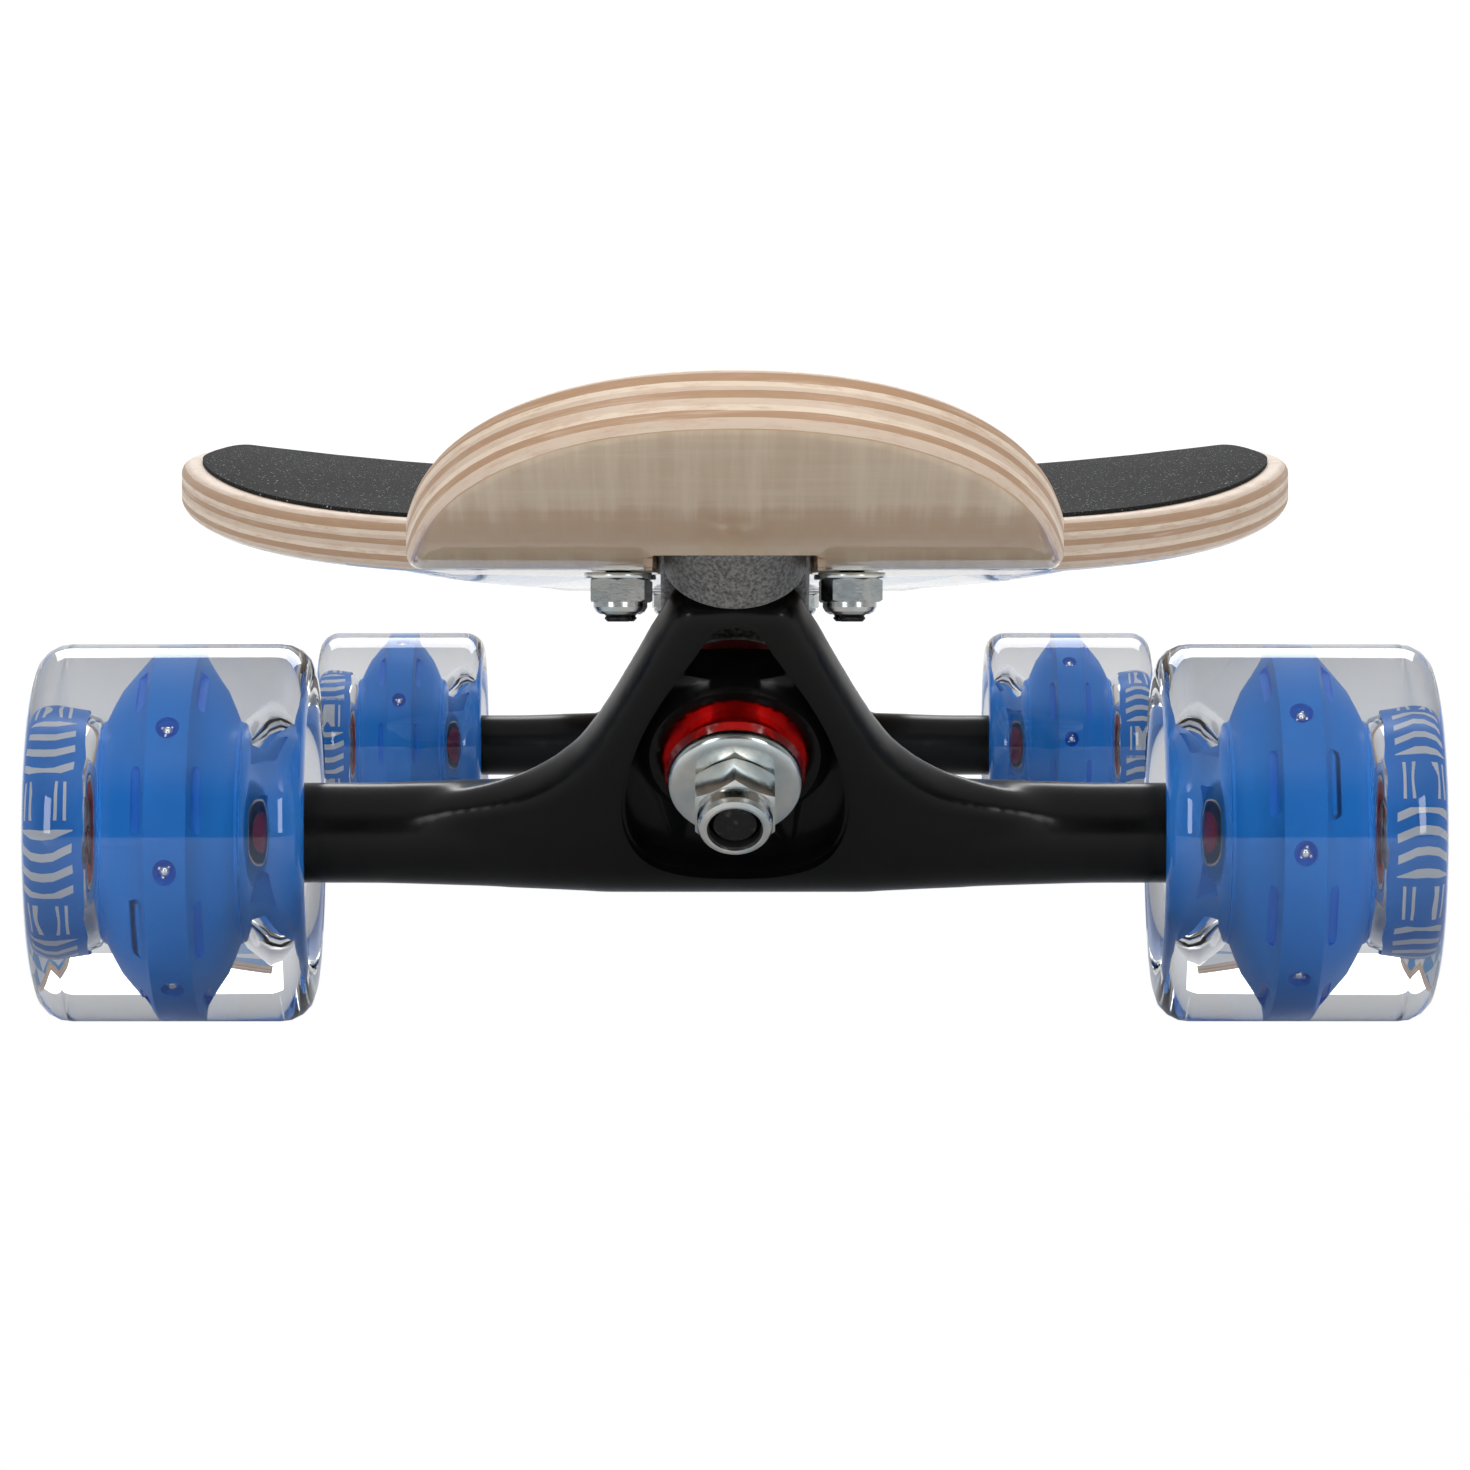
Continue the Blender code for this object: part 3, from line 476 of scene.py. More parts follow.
KINGPIN = frame_along(KINGPIN_AXIS, AXLE_CENTRE + KINGPIN_OFFSET * MM * PIVOT_AXIS)
PIVOT = frame_along(PIVOT_AXIS, AXLE_CENTRE)
AXLE = frame_along(ACROSS, AXLE_CENTRE)
UPSIDE_DOWN = Matrix.Rotation(math.pi, 4, "X")
REAR = Matrix.Translation((0.0, WHEELBASE / 2 * MM, 0.0))
TRUCKS = {"front": Matrix.Rotation(math.pi, 4, "Z") @ REAR, "rear": REAR}


def shift(x=0.0, y=0.0, z=0.0):
    return Matrix.Translation((x * MM, y * MM, z * MM))


def on_each_truck(master, name, body, look, nodes=(), degrees=35):
    """Copies of a piece made in the truck's frame, one for each end. Names may hold {end}."""
    for end, truck in TRUCKS.items():
        made = copied(master, f"{end}_{name}", truck)
        finish(made, body.format(end=end), look, [node.format(end=end) for node in nodes], degrees)
    bpy.data.objects.remove(master)


print("axle height", AXLE_HEIGHT, "mm, wheelbase", round(WHEELBASE, 1), "mm")

# %% [markdown]
# ## Metal finishes
# Nuts, washers and speed rings are zinc plated: a bright metal with a faint blue and yellow cast that drifts
# over the surface. Bolts are black steel. The hanger wears a thick gloss black powder coat, which pools into
# a soft orange peel.
# The baseplate is left as it came from the sand mould: grainy and dull.

# %% Metal finishes
zinc = Finish("zinc_plate", Metallic=1.0)
cast_tint = zinc.noise(zinc.place(), 160.0)
zinc.set(Base_Color=zinc.mix(cast_tint.ramp(0.3, 0.7), (0.46, 0.52, 0.54), (0.66, 0.66, 0.63)))
zinc.set(Roughness=zinc.noise(zinc.place(), 900.0) * 0.14 + 0.14)
zinc.bump(zinc.noise(zinc.place(), 2400.0), 0.10, 0.0001)

black_steel = Finish("black_steel", Metallic=0.6)
wear = black_steel.noise(black_steel.place(), 700.0)
black_steel.set(Base_Color=black_steel.mix(wear.ramp(0.55, 0.75), (0.012, 0.012, 0.013), (0.06, 0.06, 0.06)))
black_steel.set(Roughness=wear * 0.2 + 0.25)

ground_steel = Finish("ground_steel", Metallic=1.0)
turning = ground_steel.noise(ground_steel.stretch(ground_steel.place(), (4000.0, 60.0, 60.0)), 1.0)
ground_steel.set(Base_Color=ground_steel.mix(turning, (0.50, 0.51, 0.52), (0.66, 0.66, 0.66)))
ground_steel.set(Roughness=turning * 0.15 + 0.2)

powder_coat = Finish("black_powder_coat", Specular_IOR_Level=0.18)
peel = powder_coat.noise(powder_coat.place(), 420.0, 2.0)
powder_coat.set(Base_Color=powder_coat.mix(peel, (0.002, 0.0022, 0.0022), (0.004, 0.0042, 0.0042)))
powder_coat.set(Roughness=powder_coat.noise(powder_coat.place(), 60.0) * 0.10 + 0.18)
powder_coat.bump(peel, 0.07, 0.0002)

rough_cast = Finish("rough_cast", Metallic=0.75)
sand = rough_cast.noise(rough_cast.place(), 1500.0, 4.0, 0.65)
pits = rough_cast.cells(rough_cast.place(), 1100.0)
rough_cast.set(Base_Color=rough_cast.mix(sand.ramp(0.3, 0.7), (0.07, 0.07, 0.07), (0.27, 0.27, 0.265)))
rough_cast.set(Roughness=sand * 0.25 + 0.34)
rough_cast.bump(sand + pits * 0.5, 0.55, 0.0004)

# %% [markdown]
# ## Plastics and urethane
# Wheels and bushings are cast urethane, clear all the way through, so both are glass-like shaders
# with the index of urethane. The core is a moulded plastic, satin and a little uneven in colour.

# %% Plastics and urethane
clear_urethane = Finish("clear_urethane", Transmission_Weight=1.0, IOR=1.5)
haze = clear_urethane.noise(clear_urethane.place(), 120.0)
clear_urethane.set(Base_Color=clear_urethane.mix(haze, (0.64, 0.655, 0.675), (0.70, 0.71, 0.725)))
clear_urethane.set(Roughness=haze * 0.02)

red_urethane = Finish("red_urethane", Transmission_Weight=0.85, IOR=1.5)
swirl = red_urethane.noise(red_urethane.place(), 150.0)
red_urethane.set(Base_Color=red_urethane.mix(swirl, (0.60, 0.002, 0.003), (0.78, 0.010, 0.008)))
red_urethane.set(Roughness=swirl * 0.08 + 0.05)

blue_core = Finish("blue_core", Specular_IOR_Level=0.4)
flow = blue_core.noise(blue_core.place(), 60.0)
blue_core.set(Base_Color=blue_core.mix(flow, (0.0, 0.24, 0.92), (0.001, 0.30, 1.0)))
blue_core.set(Roughness=flow * 0.15 + 0.38)
blue_core.bump(blue_core.noise(blue_core.place(), 900.0), 0.04, 0.0002)

red_shield = Finish("red_shield")
rubber = red_shield.noise(red_shield.place(), 600.0)
red_shield.set(Base_Color=red_shield.mix(rubber, (0.40, 0.01, 0.012), (0.55, 0.02, 0.02)))
red_shield.set(Roughness=rubber * 0.2 + 0.4)

nylon = Finish("black_nylon")
matte = nylon.noise(nylon.place(), 900.0)
nylon.set(Base_Color=nylon.mix(matte, (0.006, 0.006, 0.007), (0.018, 0.018, 0.02)))
nylon.set(Roughness=matte * 0.2 + 0.35)

pivot_plastic = Finish("pivot_plastic")
cloud = pivot_plastic.noise(pivot_plastic.place(), 300.0)
pivot_plastic.set(Base_Color=pivot_plastic.mix(cloud, (0.74, 0.74, 0.71), (0.84, 0.84, 0.80)),
                  Roughness=cloud * 0.2 + 0.35)

glint = Finish("air_bubble")
shine = glint.noise(glint.place(), 800.0)
glint.set(Base_Color=glint.mix(shine, (0.75, 0.82, 0.90), (1.0, 1.0, 1.0)), Roughness=shine * 0.1 + 0.02,
          Metallic=0.8)

# %% [markdown]
# ## The deck
# Eight veneers are glued and pressed in a mould, then the outline is cut. Here the order is turned
# round, because a flat slab is easier to cut and to bevel: the outline is filled and extruded, its
# edges are rounded, the slots are cut, and the slab is sliced so fine that it can be pressed into
# shape by moving each point to the height of the mould. Each point keeps its flat place in an
# attribute called flat, so the plies follow the bends.

# %% Deck outline and mould
DECK_LENGTH = 1041.0
DECK_HALF_WIDTH = 120.65
DECK_THICKNESS = 10.5
DECK_CLEARANCE = 83.0
NECK_HALF_WIDTH = 57.0
FLARE_START, FLARE_LENGTH = 62.0, 168.0
TIP_LENGTH, TIP_SQUARENESS = 75.0, 2.2
KICK_START, KICK_RADIUS, KICK_ANGLE = 68.0, 60.0, math.radians(20)
CAMBER_START, CAMBER_RISE = 55.0, 14.8
CONCAVE_START, CONCAVE_FADE, CONCAVE_RISE = 60.0, 140.0, 8.0
EDGE_RADIUS = 2.8
DECK_TOP = DECK_CLEARANCE + DECK_THICKNESS
TIP = (DECK_LENGTH - WHEELBASE) / 2


def half_width(out):
    """Half the deck's width, by the distance outward of the axle."""
    flare = (-out - FLARE_START) / FLARE_LENGTH
    if flare > 0:
        share = (1 - (1 - min(flare, 1.0)) ** 3) ** 1.4
        return NECK_HALF_WIDTH + (DECK_HALF_WIDTH - NECK_HALF_WIDTH) * share
    return NECK_HALF_WIDTH


def underside(x, y):
    """Height of the mould: kicks at the tips, camber and concave between the trucks."""
    out = abs(y) - WHEELBASE / 2
    height = DECK_CLEARANCE
    if out > KICK_START:
        curved = KICK_RADIUS * math.sin(KICK_ANGLE)
        along = min(out - KICK_START, curved)
        height += KICK_RADIUS - math.sqrt(KICK_RADIUS ** 2 - along ** 2)
        height += max(0.0, out - KICK_START - curved) * math.tan(KICK_ANGLE)
    inward = -out - CAMBER_START
    if inward > 0:
        share = inward / (WHEELBASE / 2 - CAMBER_START)
        height += CAMBER_RISE * math.sin(math.pi / 2 * min(share, 1.0)) ** 1.4
    grown = min(1.0, max(0.0, (-out - CONCAVE_START) / CONCAVE_FADE))
    return height + CONCAVE_RISE * grown * grown * (3 - 2 * grown) * (x / DECK_HALF_WIDTH) ** 2


def inset_outline(outline, inset):
    """An outline moved inward by a distance. It is walked clockwise."""
    walk = [Vector(point) for point in outline]
    moved = []
    for before, here, after in zip(walk[-1:] + walk[:-1], walk, walk[1:] + walk[:1]):
        along = (after - before).normalized()
        moved.append((here.x + along.y * inset, here.y - along.x * inset))
    return moved


def deck_outline(inset=0.0):
    """The whole outline. The tip is a superellipse, walked by angle."""
    quarter = []
    for step in range(28):
        angle = math.pi / 2 * step / 28
        across = NECK_HALF_WIDTH * math.sin(angle) ** (2 / TIP_SQUARENESS)
        out = TIP - TIP_LENGTH + TIP_LENGTH * math.cos(angle) ** (2 / TIP_SQUARENESS)
        quarter.append((across, WHEELBASE / 2 + out))
    out = TIP - TIP_LENGTH
    while out > -FLARE_START - FLARE_LENGTH:
        quarter.append((half_width(out), WHEELBASE / 2 + out))
        out -= 6.0
    quarter.append((DECK_HALF_WIDTH, WHEELBASE / 2 - FLARE_START - FLARE_LENGTH))
    right = quarter + [(x, -y) for x, y in reversed(quarter)]
    return inset_outline(mirrored(right), inset)


def keep_flat_place(piece):
    """Store each point's place on the flat slab."""
    flat = piece.data.attributes.new("flat", "FLOAT_VECTOR", "POINT")
    for vertex, value in zip(piece.data.vertices, flat.data):
        value.vector = vertex.co


def press(piece, lift):
    """Slice the slab across and along, then move each point to the mould's height."""
    only(piece)
    edit()
    reach = int(DECK_LENGTH / 2)
    cuts = [((0.0, y * MM, 0.0), (0.0, 1.0, 0.0)) for y in range(-reach + 8, reach, 8)]
    cuts += [((x * MM, 0.0, 0.0), (1.0, 0.0, 0.0)) for x in range(-112, 113, 16)]
    for place, way_across in cuts:
        bpy.ops.mesh.select_all(action="SELECT")
        bpy.ops.mesh.bisect(plane_co=place, plane_no=way_across)
    leave()
    keep_flat_place(piece)
    for vertex in piece.data.vertices:
        x, y, z = vertex.co / MM
        vertex.co.z = (z + lift + underside(x, y)) * MM
    piece.data.update()


# %% Slots and bolt holes
SLOT_HALF_WIDTH = 14.5
BOLT_SPREAD = 41.3
BOLT_HOLE = 2.7
BOLT_ROWS = (-5.8, 48.0)
FLANGE_INNER, FLANGE_OUTER, FLANGE_HALF_WIDTH = -36.0, 72.0, 29.0


def slot_outline():
    """The drop-through slot, wider between the bolts."""
    waist = BOLT_SPREAD / 2 + 1.5
    inner, outer = FLANGE_INNER - 2.0, FLANGE_OUTER + 3.0
    low, high = BOLT_ROWS[0] + 9.0, BOLT_ROWS[1] - 9.0
    bend = 8.0
    right = arc((SLOT_HALF_WIDTH - bend, inner + bend), bend, -90, 0, 8)
    right += [(SLOT_HALF_WIDTH, low - 1.0), (waist, low + 5.0)]
    right += [(waist, high - 5.0), (SLOT_HALF_WIDTH, high + 1.0)]
    right += arc((SLOT_HALF_WIDTH - bend, outer - bend), bend, 0, 90, 8)
    return mirrored(right)


def flange_outline(margin=0.0):
    """The baseplate's flange from above."""
    wide, corner = FLANGE_HALF_WIDTH + margin, 8.0
    inner, outer = FLANGE_INNER - margin, FLANGE_OUTER + margin
    nose = 13.5 + margin
    right = [(wide - corner, inner), (wide - corner * 0.3, inner + corner * 0.3), (wide, inner + corner)]
    right += [(wide, outer - 20.0), (wide - 1.3, outer - 14.5), (wide - 5.0, outer - 9.0), (nose, outer)]
    return mirrored(right)


def bolt_places():
    return [(side * BOLT_SPREAD / 2, row) for row in BOLT_ROWS for side in (-1, 1)]


deck = cut_out("deck_laminate", deck_outline(), 0.0, DECK_THICKNESS)
modify(deck, "BEVEL", width=EDGE_RADIUS * MM, segments=6, limit_method="ANGLE", angle_limit=math.radians(60))
relief = mirrored([(15.4, 58.0), (15.8, 60.0), (15.8, 82.0), (13.8, 84.6)])
for end, truck in TRUCKS.items():
    combine(deck, "DIFFERENCE", settle(cut_out("slot", slot_outline(), -5.0, 20.0), truck))
    combine(deck, "DIFFERENCE", settle(cut_out("relief", relief, -5.0, 4.2), truck))
    for x, y in bolt_places():
        hole = spun("hole", [(0.0, -5.0), (BOLT_HOLE, -5.0), (BOLT_HOLE, 20.0), (0.0, 20.0)], 20)
        combine(deck, "DIFFERENCE", settle(hole, truck @ shift(x, y)))
press(deck, 0.0)
print("deck:", len(deck.data.vertices), "points")

# %% Grip tape
GRIP_THICKNESS = 0.8
GRIP_INSET = 4.5
grip = cut_out("grip_tape_sheet", deck_outline(GRIP_INSET), 0.0, GRIP_THICKNESS)
for end, truck in TRUCKS.items():
    combine(grip, "DIFFERENCE", settle(cut_out("window", flange_outline(1.0), -5.0, 5.0), truck))
press(grip, DECK_THICKNESS + 0.08)

# %% [markdown]
# ## Wood and grit
# On the deck's edge the plies lie in layers: cream where the grain runs along the edge, tan and
# mottled where it is cut across. The lowest veneer is the underside: lacquered and pale at the
# tips, printed white and blue in the middle. The print is plain triangles.

# %% Wood
wood = Finish("laminated_maple", Coat_Roughness=0.06)
flat = wood.attribute("flat")
flat_x, flat_y, height = wood.split(flat)
streak_place = wood.stretch(flat, (40.0, 40.0, 900.0))
streaks = wood.noise(streak_place, 1.0, 4.0, 0.6)
mottle = wood.noise(wood.stretch(flat, (130.0, 130.0, 900.0)), 1.0, 5.0, 0.7)
layer = (height / (DECK_THICKNESS * MM)) + (streaks - 0.5) * 0.055
CREAM, PALE, TAN, BROWN = (0.74, 0.61, 0.48), (0.63, 0.50, 0.39), (0.42, 0.26, 0.155), (0.42, 0.27, 0.14)
plies = wood.bands(layer, [(0.0, BROWN), (0.055, PALE), (0.185, TAN), (0.30, CREAM), (0.385, PALE),
                           (0.49, TAN), (0.60, PALE), (0.665, CREAM), (0.745, TAN), (0.90, PALE)], "CONSTANT")
end_grain = wood.mix(mottle.ramp(0.45, 0.75) * 0.7, plies, (0.50, 0.31, 0.20))
end_grain = wood.mix(streaks.ramp(0.52, 0.8) * 0.4, end_grain, (0.78, 0.67, 0.54))
grain_lines = wood.noise(wood.stretch(flat, (260.0, 9.0, 1.0)), 1.0, 5.0, 0.6)
ripple = wood.noise(wood.stretch(flat, (25.0, 240.0, 1.0)), 1.0, 3.0, 0.6)
veneer = wood.mix(grain_lines.ramp(0.35, 0.75), (0.43, 0.32, 0.21), (0.54, 0.43, 0.31))
veneer = wood.mix(ripple.ramp(0.4, 0.8) * 0.35, veneer, (0.58, 0.48, 0.36))
# Painted reflection: a darker brown band across the underside where the kick bend begins, standing in for the
# dark truck mirrored in the lacquer.
dark_reflection_place = (abs(flat_y) - (WHEELBASE / 2 + KICK_START + 29.0) * MM) / (11.0 * MM)
dark_reflection = 1.0 - abs(dark_reflection_place + (grain_lines - 0.5) * 1.4 + (ripple - 0.5)).ramp(0.2, 1.1)
veneer = wood.mix(dark_reflection * 0.75, veneer, (0.34, 0.21, 0.11))
PRINT_REACH = 0.335
TRIANGLE = 0.052
row = (flat_y / TRIANGLE).saw()
tooth = abs(((flat_x / TRIANGLE) + 0.25).saw() - 0.5) * 2.0
triangles = (tooth - row).above(0.0)
printed = (abs(flat_y) + (streaks - 0.5) * 0.006).below(PRINT_REACH)
inked = wood.mix(triangles, (0.80, 0.82, 0.86), (0.05, 0.28, 0.62))
below_edge = height.below(0.9 * MM)
face = wood.mix(printed, veneer, inked)
face_or_edge = wood.mix((height + (streaks - 0.5) * 0.4 * MM).below(0.45 * MM), end_grain, face)
wood.set(Base_Color=face_or_edge)
wood.set(Coat_Weight=below_edge * 0.95 + 0.02)
wood.set(Roughness=mottle * 0.2 + 0.38 - below_edge * 0.12)
wood.bump(ripple * below_edge * 0.5 + mottle * (1.0 - below_edge) * 0.5, 0.18, 0.0003)

grit = Finish("grip_grit", Specular_IOR_Level=0.3)
grains = grit.cells(grit.attribute("flat"), 1700.0)
grain_tone = grit.noise(grit.attribute("flat"), 2600.0, 2.0)
dust = grit.noise(grit.attribute("flat"), 25.0, 4.0)
sparkle = grit.noise(grit.attribute("flat"), 1500.0, 1.0).ramp(0.70, 0.76)
grit_base = grit.mix(grain_tone.ramp(0.3, 0.8), (0.003, 0.0035, 0.004), (0.018, 0.0185, 0.019))
grit_base = grit.mix(dust.ramp(0.45, 0.8) * 0.2, grit_base, (0.05, 0.05, 0.05))
grit.set(Base_Color=grit.mix(sparkle, grit_base, (0.75, 0.78, 0.80)))
grit.set(Roughness=0.85 - sparkle * 0.55)
grit.bump(grains, 0.8, 0.0008)

finish(deck, "root", wood, ["deck"], 40)
finish(grip, "root", grit, ["grip_tape"], 40)

# %% [markdown]
# ## The hanger
# The hanger is one casting: a tube for the axle, an A-shaped frame that rises to the pivot, and a
# ring that holds the bushings. Casting leaves no sharp corner, so the solid shapes are joined,
# remeshed in small cells and smoothed, which rounds every inside corner by itself. The window and
# the seats are cut afterwards, because a machined or die-cast edge stays crisp.

# %% Hanger
HANGER_HALF = 90.0
TUBE_RADIUS, BELLY_RADIUS = 9.4, 11.1
BOARDSIDE_SEAT, ROADSIDE_SEAT = 2.5, 5.5
RING_RADIUS, RING_HOLE, RING_LIP = 16.0, 8.0, 9.0
BUSHING_RADIUS = 13.0
SHOULDER_REACH, PIVOT_REACH = 61.5, 63.8
WINDOW_TOP = 57.2
PLATE_BACK, PLATE_FRONT = -2.0, 10.0
THINNING, THIN_START, THIN_LENGTH = 0.42, 24.0, 42.0
CELL = 0.8
SMOOTHING = 50


def a_frame():
    """The A-frame, in x and distance along the pivot axis from the axle."""
    arm = [(76.0, -2.0), (70.0, 4.5), (60.0, 8.6), (51.0, 11.2), (44.0, 13.5), (38.0, 16.1), (33.0, 19.7)]
    leg = [(29.0, 23.8), (25.8, 28.8), (22.7, 34.8), (19.0, 42.7), (15.3, 51.0), (12.5, 56.5)]
    return mirrored([*arm, *leg, (10.6, SHOULDER_REACH)])


def rounded(outline, parts):
    """A smooth closed curve through the points of an outline."""
    points = [Vector(point) for point in outline]
    count = len(points)
    curve = []
    for k in range(count):
        before, start, end, after = (points[(k + step) % count] for step in (-1, 0, 1, 2))
        for part in range(parts):
            u = part / parts
            bend = 2 * start + (end - before) * u
            bend += (2 * before - 5 * start + 4 * end - after) * u * u
            bend += (3 * start - before - 3 * end + after) * u ** 3
            curve.append(tuple(bend / 2))
    return curve


def window():
    """The rounded triangle sunk in the hanger's front."""
    right = [(3.2, 56.4), (5.2, 53.9), (6.7, 51.0), (9.8, 45.6), (13.2, 39.6), (16.8, 31.5), (19.1, 23.5),
             (20.0, 16.5), (19.8, 11.0), (18.6, 6.4), (16.4, 3.3), (13.2, 1.2), (9.0, -0.2), (4.5, -0.9)]
    return rounded(mirrored([(0.0, WINDOW_TOP), *right, (0.0, -1.0)]), 3)


def over_ring():
    """The part of the window that goes right through, above a flat on the ring."""
    right = arc((0.0, WINDOW_TOP - 5.6), 4.3, 90, 20, 5)[1:]
    right += [(5.3, 51.0), (8.3, 45.4), (9.2, 43.6), (8.8, 42.8), (0.0, 42.8)]
    return mirrored([(0.0, WINDOW_TOP - 1.3), *right])


FACING = KINGPIN @ Matrix(((1, 0, 0, 0), (0, -1, 0, KINGPIN_OFFSET * MM), (0, 0, 1, 0), (0, 0, 0, 1)))


def facing_kingpin(name, outline, low, high):
    """An outline in x and t, cut through along the kingpin."""
    piece = cut_out(name, outline, low, high)
    return outward_normals(settle(piece, FACING))


hanger = cut_out("hanger_casting", a_frame(), PLATE_BACK, PLATE_FRONT)
soften(hanger, 3.2, 4, 60)
only(hanger)
edit()
for x in range(-72, 73, 4):
    bpy.ops.mesh.select_all(action="SELECT")
    bpy.ops.mesh.bisect(plane_co=(x * MM, 0.0, 0.0), plane_no=(1.0, 0.0, 0.0))
leave()
for vertex in hanger.data.vertices:
    outward = min(1.0, max(0.0, (abs(vertex.co.x) / MM - THIN_START) / THIN_LENGTH))
    vertex.co.z *= 1.0 - THINNING * outward * outward * (3.0 - 2.0 * outward)
outward_normals(settle(hanger, FACING))
tube_half = [(0.0, -HANGER_HALF), (TUBE_RADIUS, -HANGER_HALF), (TUBE_RADIUS, -66.0), (10.1, -45.0),
             (BELLY_RADIUS, -24.0), (BELLY_RADIUS, 0.0)]
tube_profile = tube_half + [(radius, -along) for radius, along in reversed(tube_half[:-1])]
combine(hanger, "UNION", settle(spun("tube", tube_profile, 48), AXLE))
neck = [(0.0, 58.5), (7.6, 58.5), (7.4, 62.0), (6.4, 63.0), (0.0, 63.0)]
combine(hanger, "UNION", settle(spun("neck", neck, 48), PIVOT))
modify(hanger, "REMESH", mode="VOXEL", voxel_size=CELL * MM, use_smooth_shade=True)
modify(hanger, "SMOOTH", factor=0.5, iterations=SMOOTHING)
sunk = facing_kingpin("sunk", window(), ROADSIDE_SEAT, 24.0)
combine(hanger, "DIFFERENCE", sunk)
rim = facing_kingpin("rim", inset_outline(window(), -0.7), RING_LIP + 0.2, 24.0)
combine(hanger, "DIFFERENCE", rim)
lip = spun("lip", [(0.0, ROADSIDE_SEAT - 1.0), (RING_RADIUS + 2.6, ROADSIDE_SEAT - 1.0),
                   (RING_RADIUS + 2.4, ROADSIDE_SEAT), (RING_RADIUS + 0.8, ROADSIDE_SEAT + 1.2),
                   (RING_RADIUS, RING_LIP - 0.8), (RING_RADIUS - 0.5, RING_LIP), (0.0, RING_LIP)], 64)
combine(hanger, "UNION", settle(lip, KINGPIN))
seat = BUSHING_RADIUS + 0.25
road = spun("road", [(0.0, ROADSIDE_SEAT), (seat, ROADSIDE_SEAT), (seat, RING_LIP - 0.4),
                     (seat + 0.6, RING_LIP + 0.2), (seat + 0.6, 30.0), (0.0, 30.0)], 64)
combine(hanger, "DIFFERENCE", settle(road, KINGPIN))
board = spun("board", [(0.0, -30.0), (seat, -30.0), (seat, BOARDSIDE_SEAT), (0.0, BOARDSIDE_SEAT)], 64)
combine(hanger, "DIFFERENCE", settle(board, KINGPIN))
through = spun("through", [(0.0, -20.0), (RING_HOLE, -20.0), (RING_HOLE, 20.0), (0.0, 20.0)], 48)
combine(hanger, "DIFFERENCE", settle(through, KINGPIN))
combine(hanger, "DIFFERENCE", facing_kingpin("over_ring", over_ring(), -20.0, 24.0))
pivot_pin = spun("pivot_pin", [(0.0, 60.0), (5.6, 60.0), (5.5, 64.0), (4.8, 71.0), (3.8, 72.2), (0.0, 72.4)],
                 40)
combine(hanger, "UNION", settle(pivot_pin, PIVOT))
axle_bore = spun("axle_bore", [(0.0, -100.0), (4.3, -100.0), (4.3, 100.0), (0.0, 100.0)], 32)
combine(hanger, "DIFFERENCE", settle(axle_bore, AXLE))
print("hanger:", len(hanger.data.polygons), "faces")
on_each_truck(hanger, "hanger_casting", "{end}_hanger_assembly", powder_coat,
              ["{end}_hanger"], 50)

# %% [markdown]
# ## The baseplate
# The baseplate is a rougher casting. Its flange lies on top of the deck and everything else hangs
# down through the slot: the block that grips the kingpin, and the boss that holds the pivot.

# %% Baseplate
FLANGE_BOTTOM, FLANGE_TOP = DECK_TOP + 0.3, DECK_TOP + 5.8
BLOCK_HALF = 13.5
KINGPIN_FACE, KINGPIN_HEAD = -12.0, -30.0
BOSS_RADIUS = 12.7
CUP_RADIUS, CUP_DEPTH = 8.6, 11.0


def on_side(along_pivot, along_kingpin):
    at = AXLE_CENTRE + (along_pivot * PIVOT_AXIS + along_kingpin * KINGPIN_AXIS) * MM
    return at.y / MM, at.z / MM


SIDEWAYS = Matrix(((0, 0, 1, 0), (1, 0, 0, 0), (0, 1, 0, 0), (0, 0, 0, 1)))
slope = PIVOT_AXIS.y / PIVOT_AXIS.z
face_low = on_side(KINGPIN_OFFSET - BLOCK_HALF, KINGPIN_FACE)
face_high = on_side(KINGPIN_OFFSET + BLOCK_HALF, KINGPIN_FACE)
web_end = on_side(SHOULDER_REACH, KINGPIN_FACE)
back = FLANGE_INNER + 3.0
middle_height = (FLANGE_BOTTOM + FLANGE_TOP) / 2
heel = (back, face_low[1] + (face_low[0] - back) * slope)
block = [(back, middle_height), heel, face_low, face_high, web_end, (web_end[0], middle_height)]
baseplate = settle(cut_out("baseplate_casting", block, -BLOCK_HALF, BLOCK_HALF), SIDEWAYS)
soften(baseplate, 2.4, 4)
flange = cut_out("flange", flange_outline(), FLANGE_BOTTOM, FLANGE_TOP)
soften(flange, 0.9, 2, 50)
combine(baseplate, "UNION", flange)
boss = spun("boss", [(0.0, PIVOT_REACH), (BOSS_RADIUS - 0.8, PIVOT_REACH), (BOSS_RADIUS, PIVOT_REACH + 0.8),
                     (BOSS_RADIUS, 94.0), (0.0, 94.0)], 64)
combine(baseplate, "UNION", settle(boss, PIVOT))
above_flange = [(-90.0, -90.0), (90.0, -90.0), (90.0, 120.0), (-90.0, 120.0)]
above = cut_out("above", above_flange, FLANGE_TOP, FLANGE_TOP + 60.0)
combine(baseplate, "DIFFERENCE", above)
cup_hole = spun("cup_hole", [(0.0, 40.0), (CUP_RADIUS, 40.0), (CUP_RADIUS, PIVOT_REACH + CUP_DEPTH),
                             (0.0, PIVOT_REACH + CUP_DEPTH)], 40)
combine(baseplate, "DIFFERENCE", settle(cup_hole, PIVOT))
floor_low = on_side(KINGPIN_OFFSET - 9.0, KINGPIN_HEAD)
floor_high = on_side(KINGPIN_OFFSET + 9.0, KINGPIN_HEAD)
pocket_back = FLANGE_INNER + 11.0
heel_in = (pocket_back, floor_low[1] + (floor_low[0] - pocket_back) * slope)
over = FLANGE_TOP + 10.0
pocket = [heel_in, floor_low, floor_high, (floor_high[0], over), (pocket_back, over)]
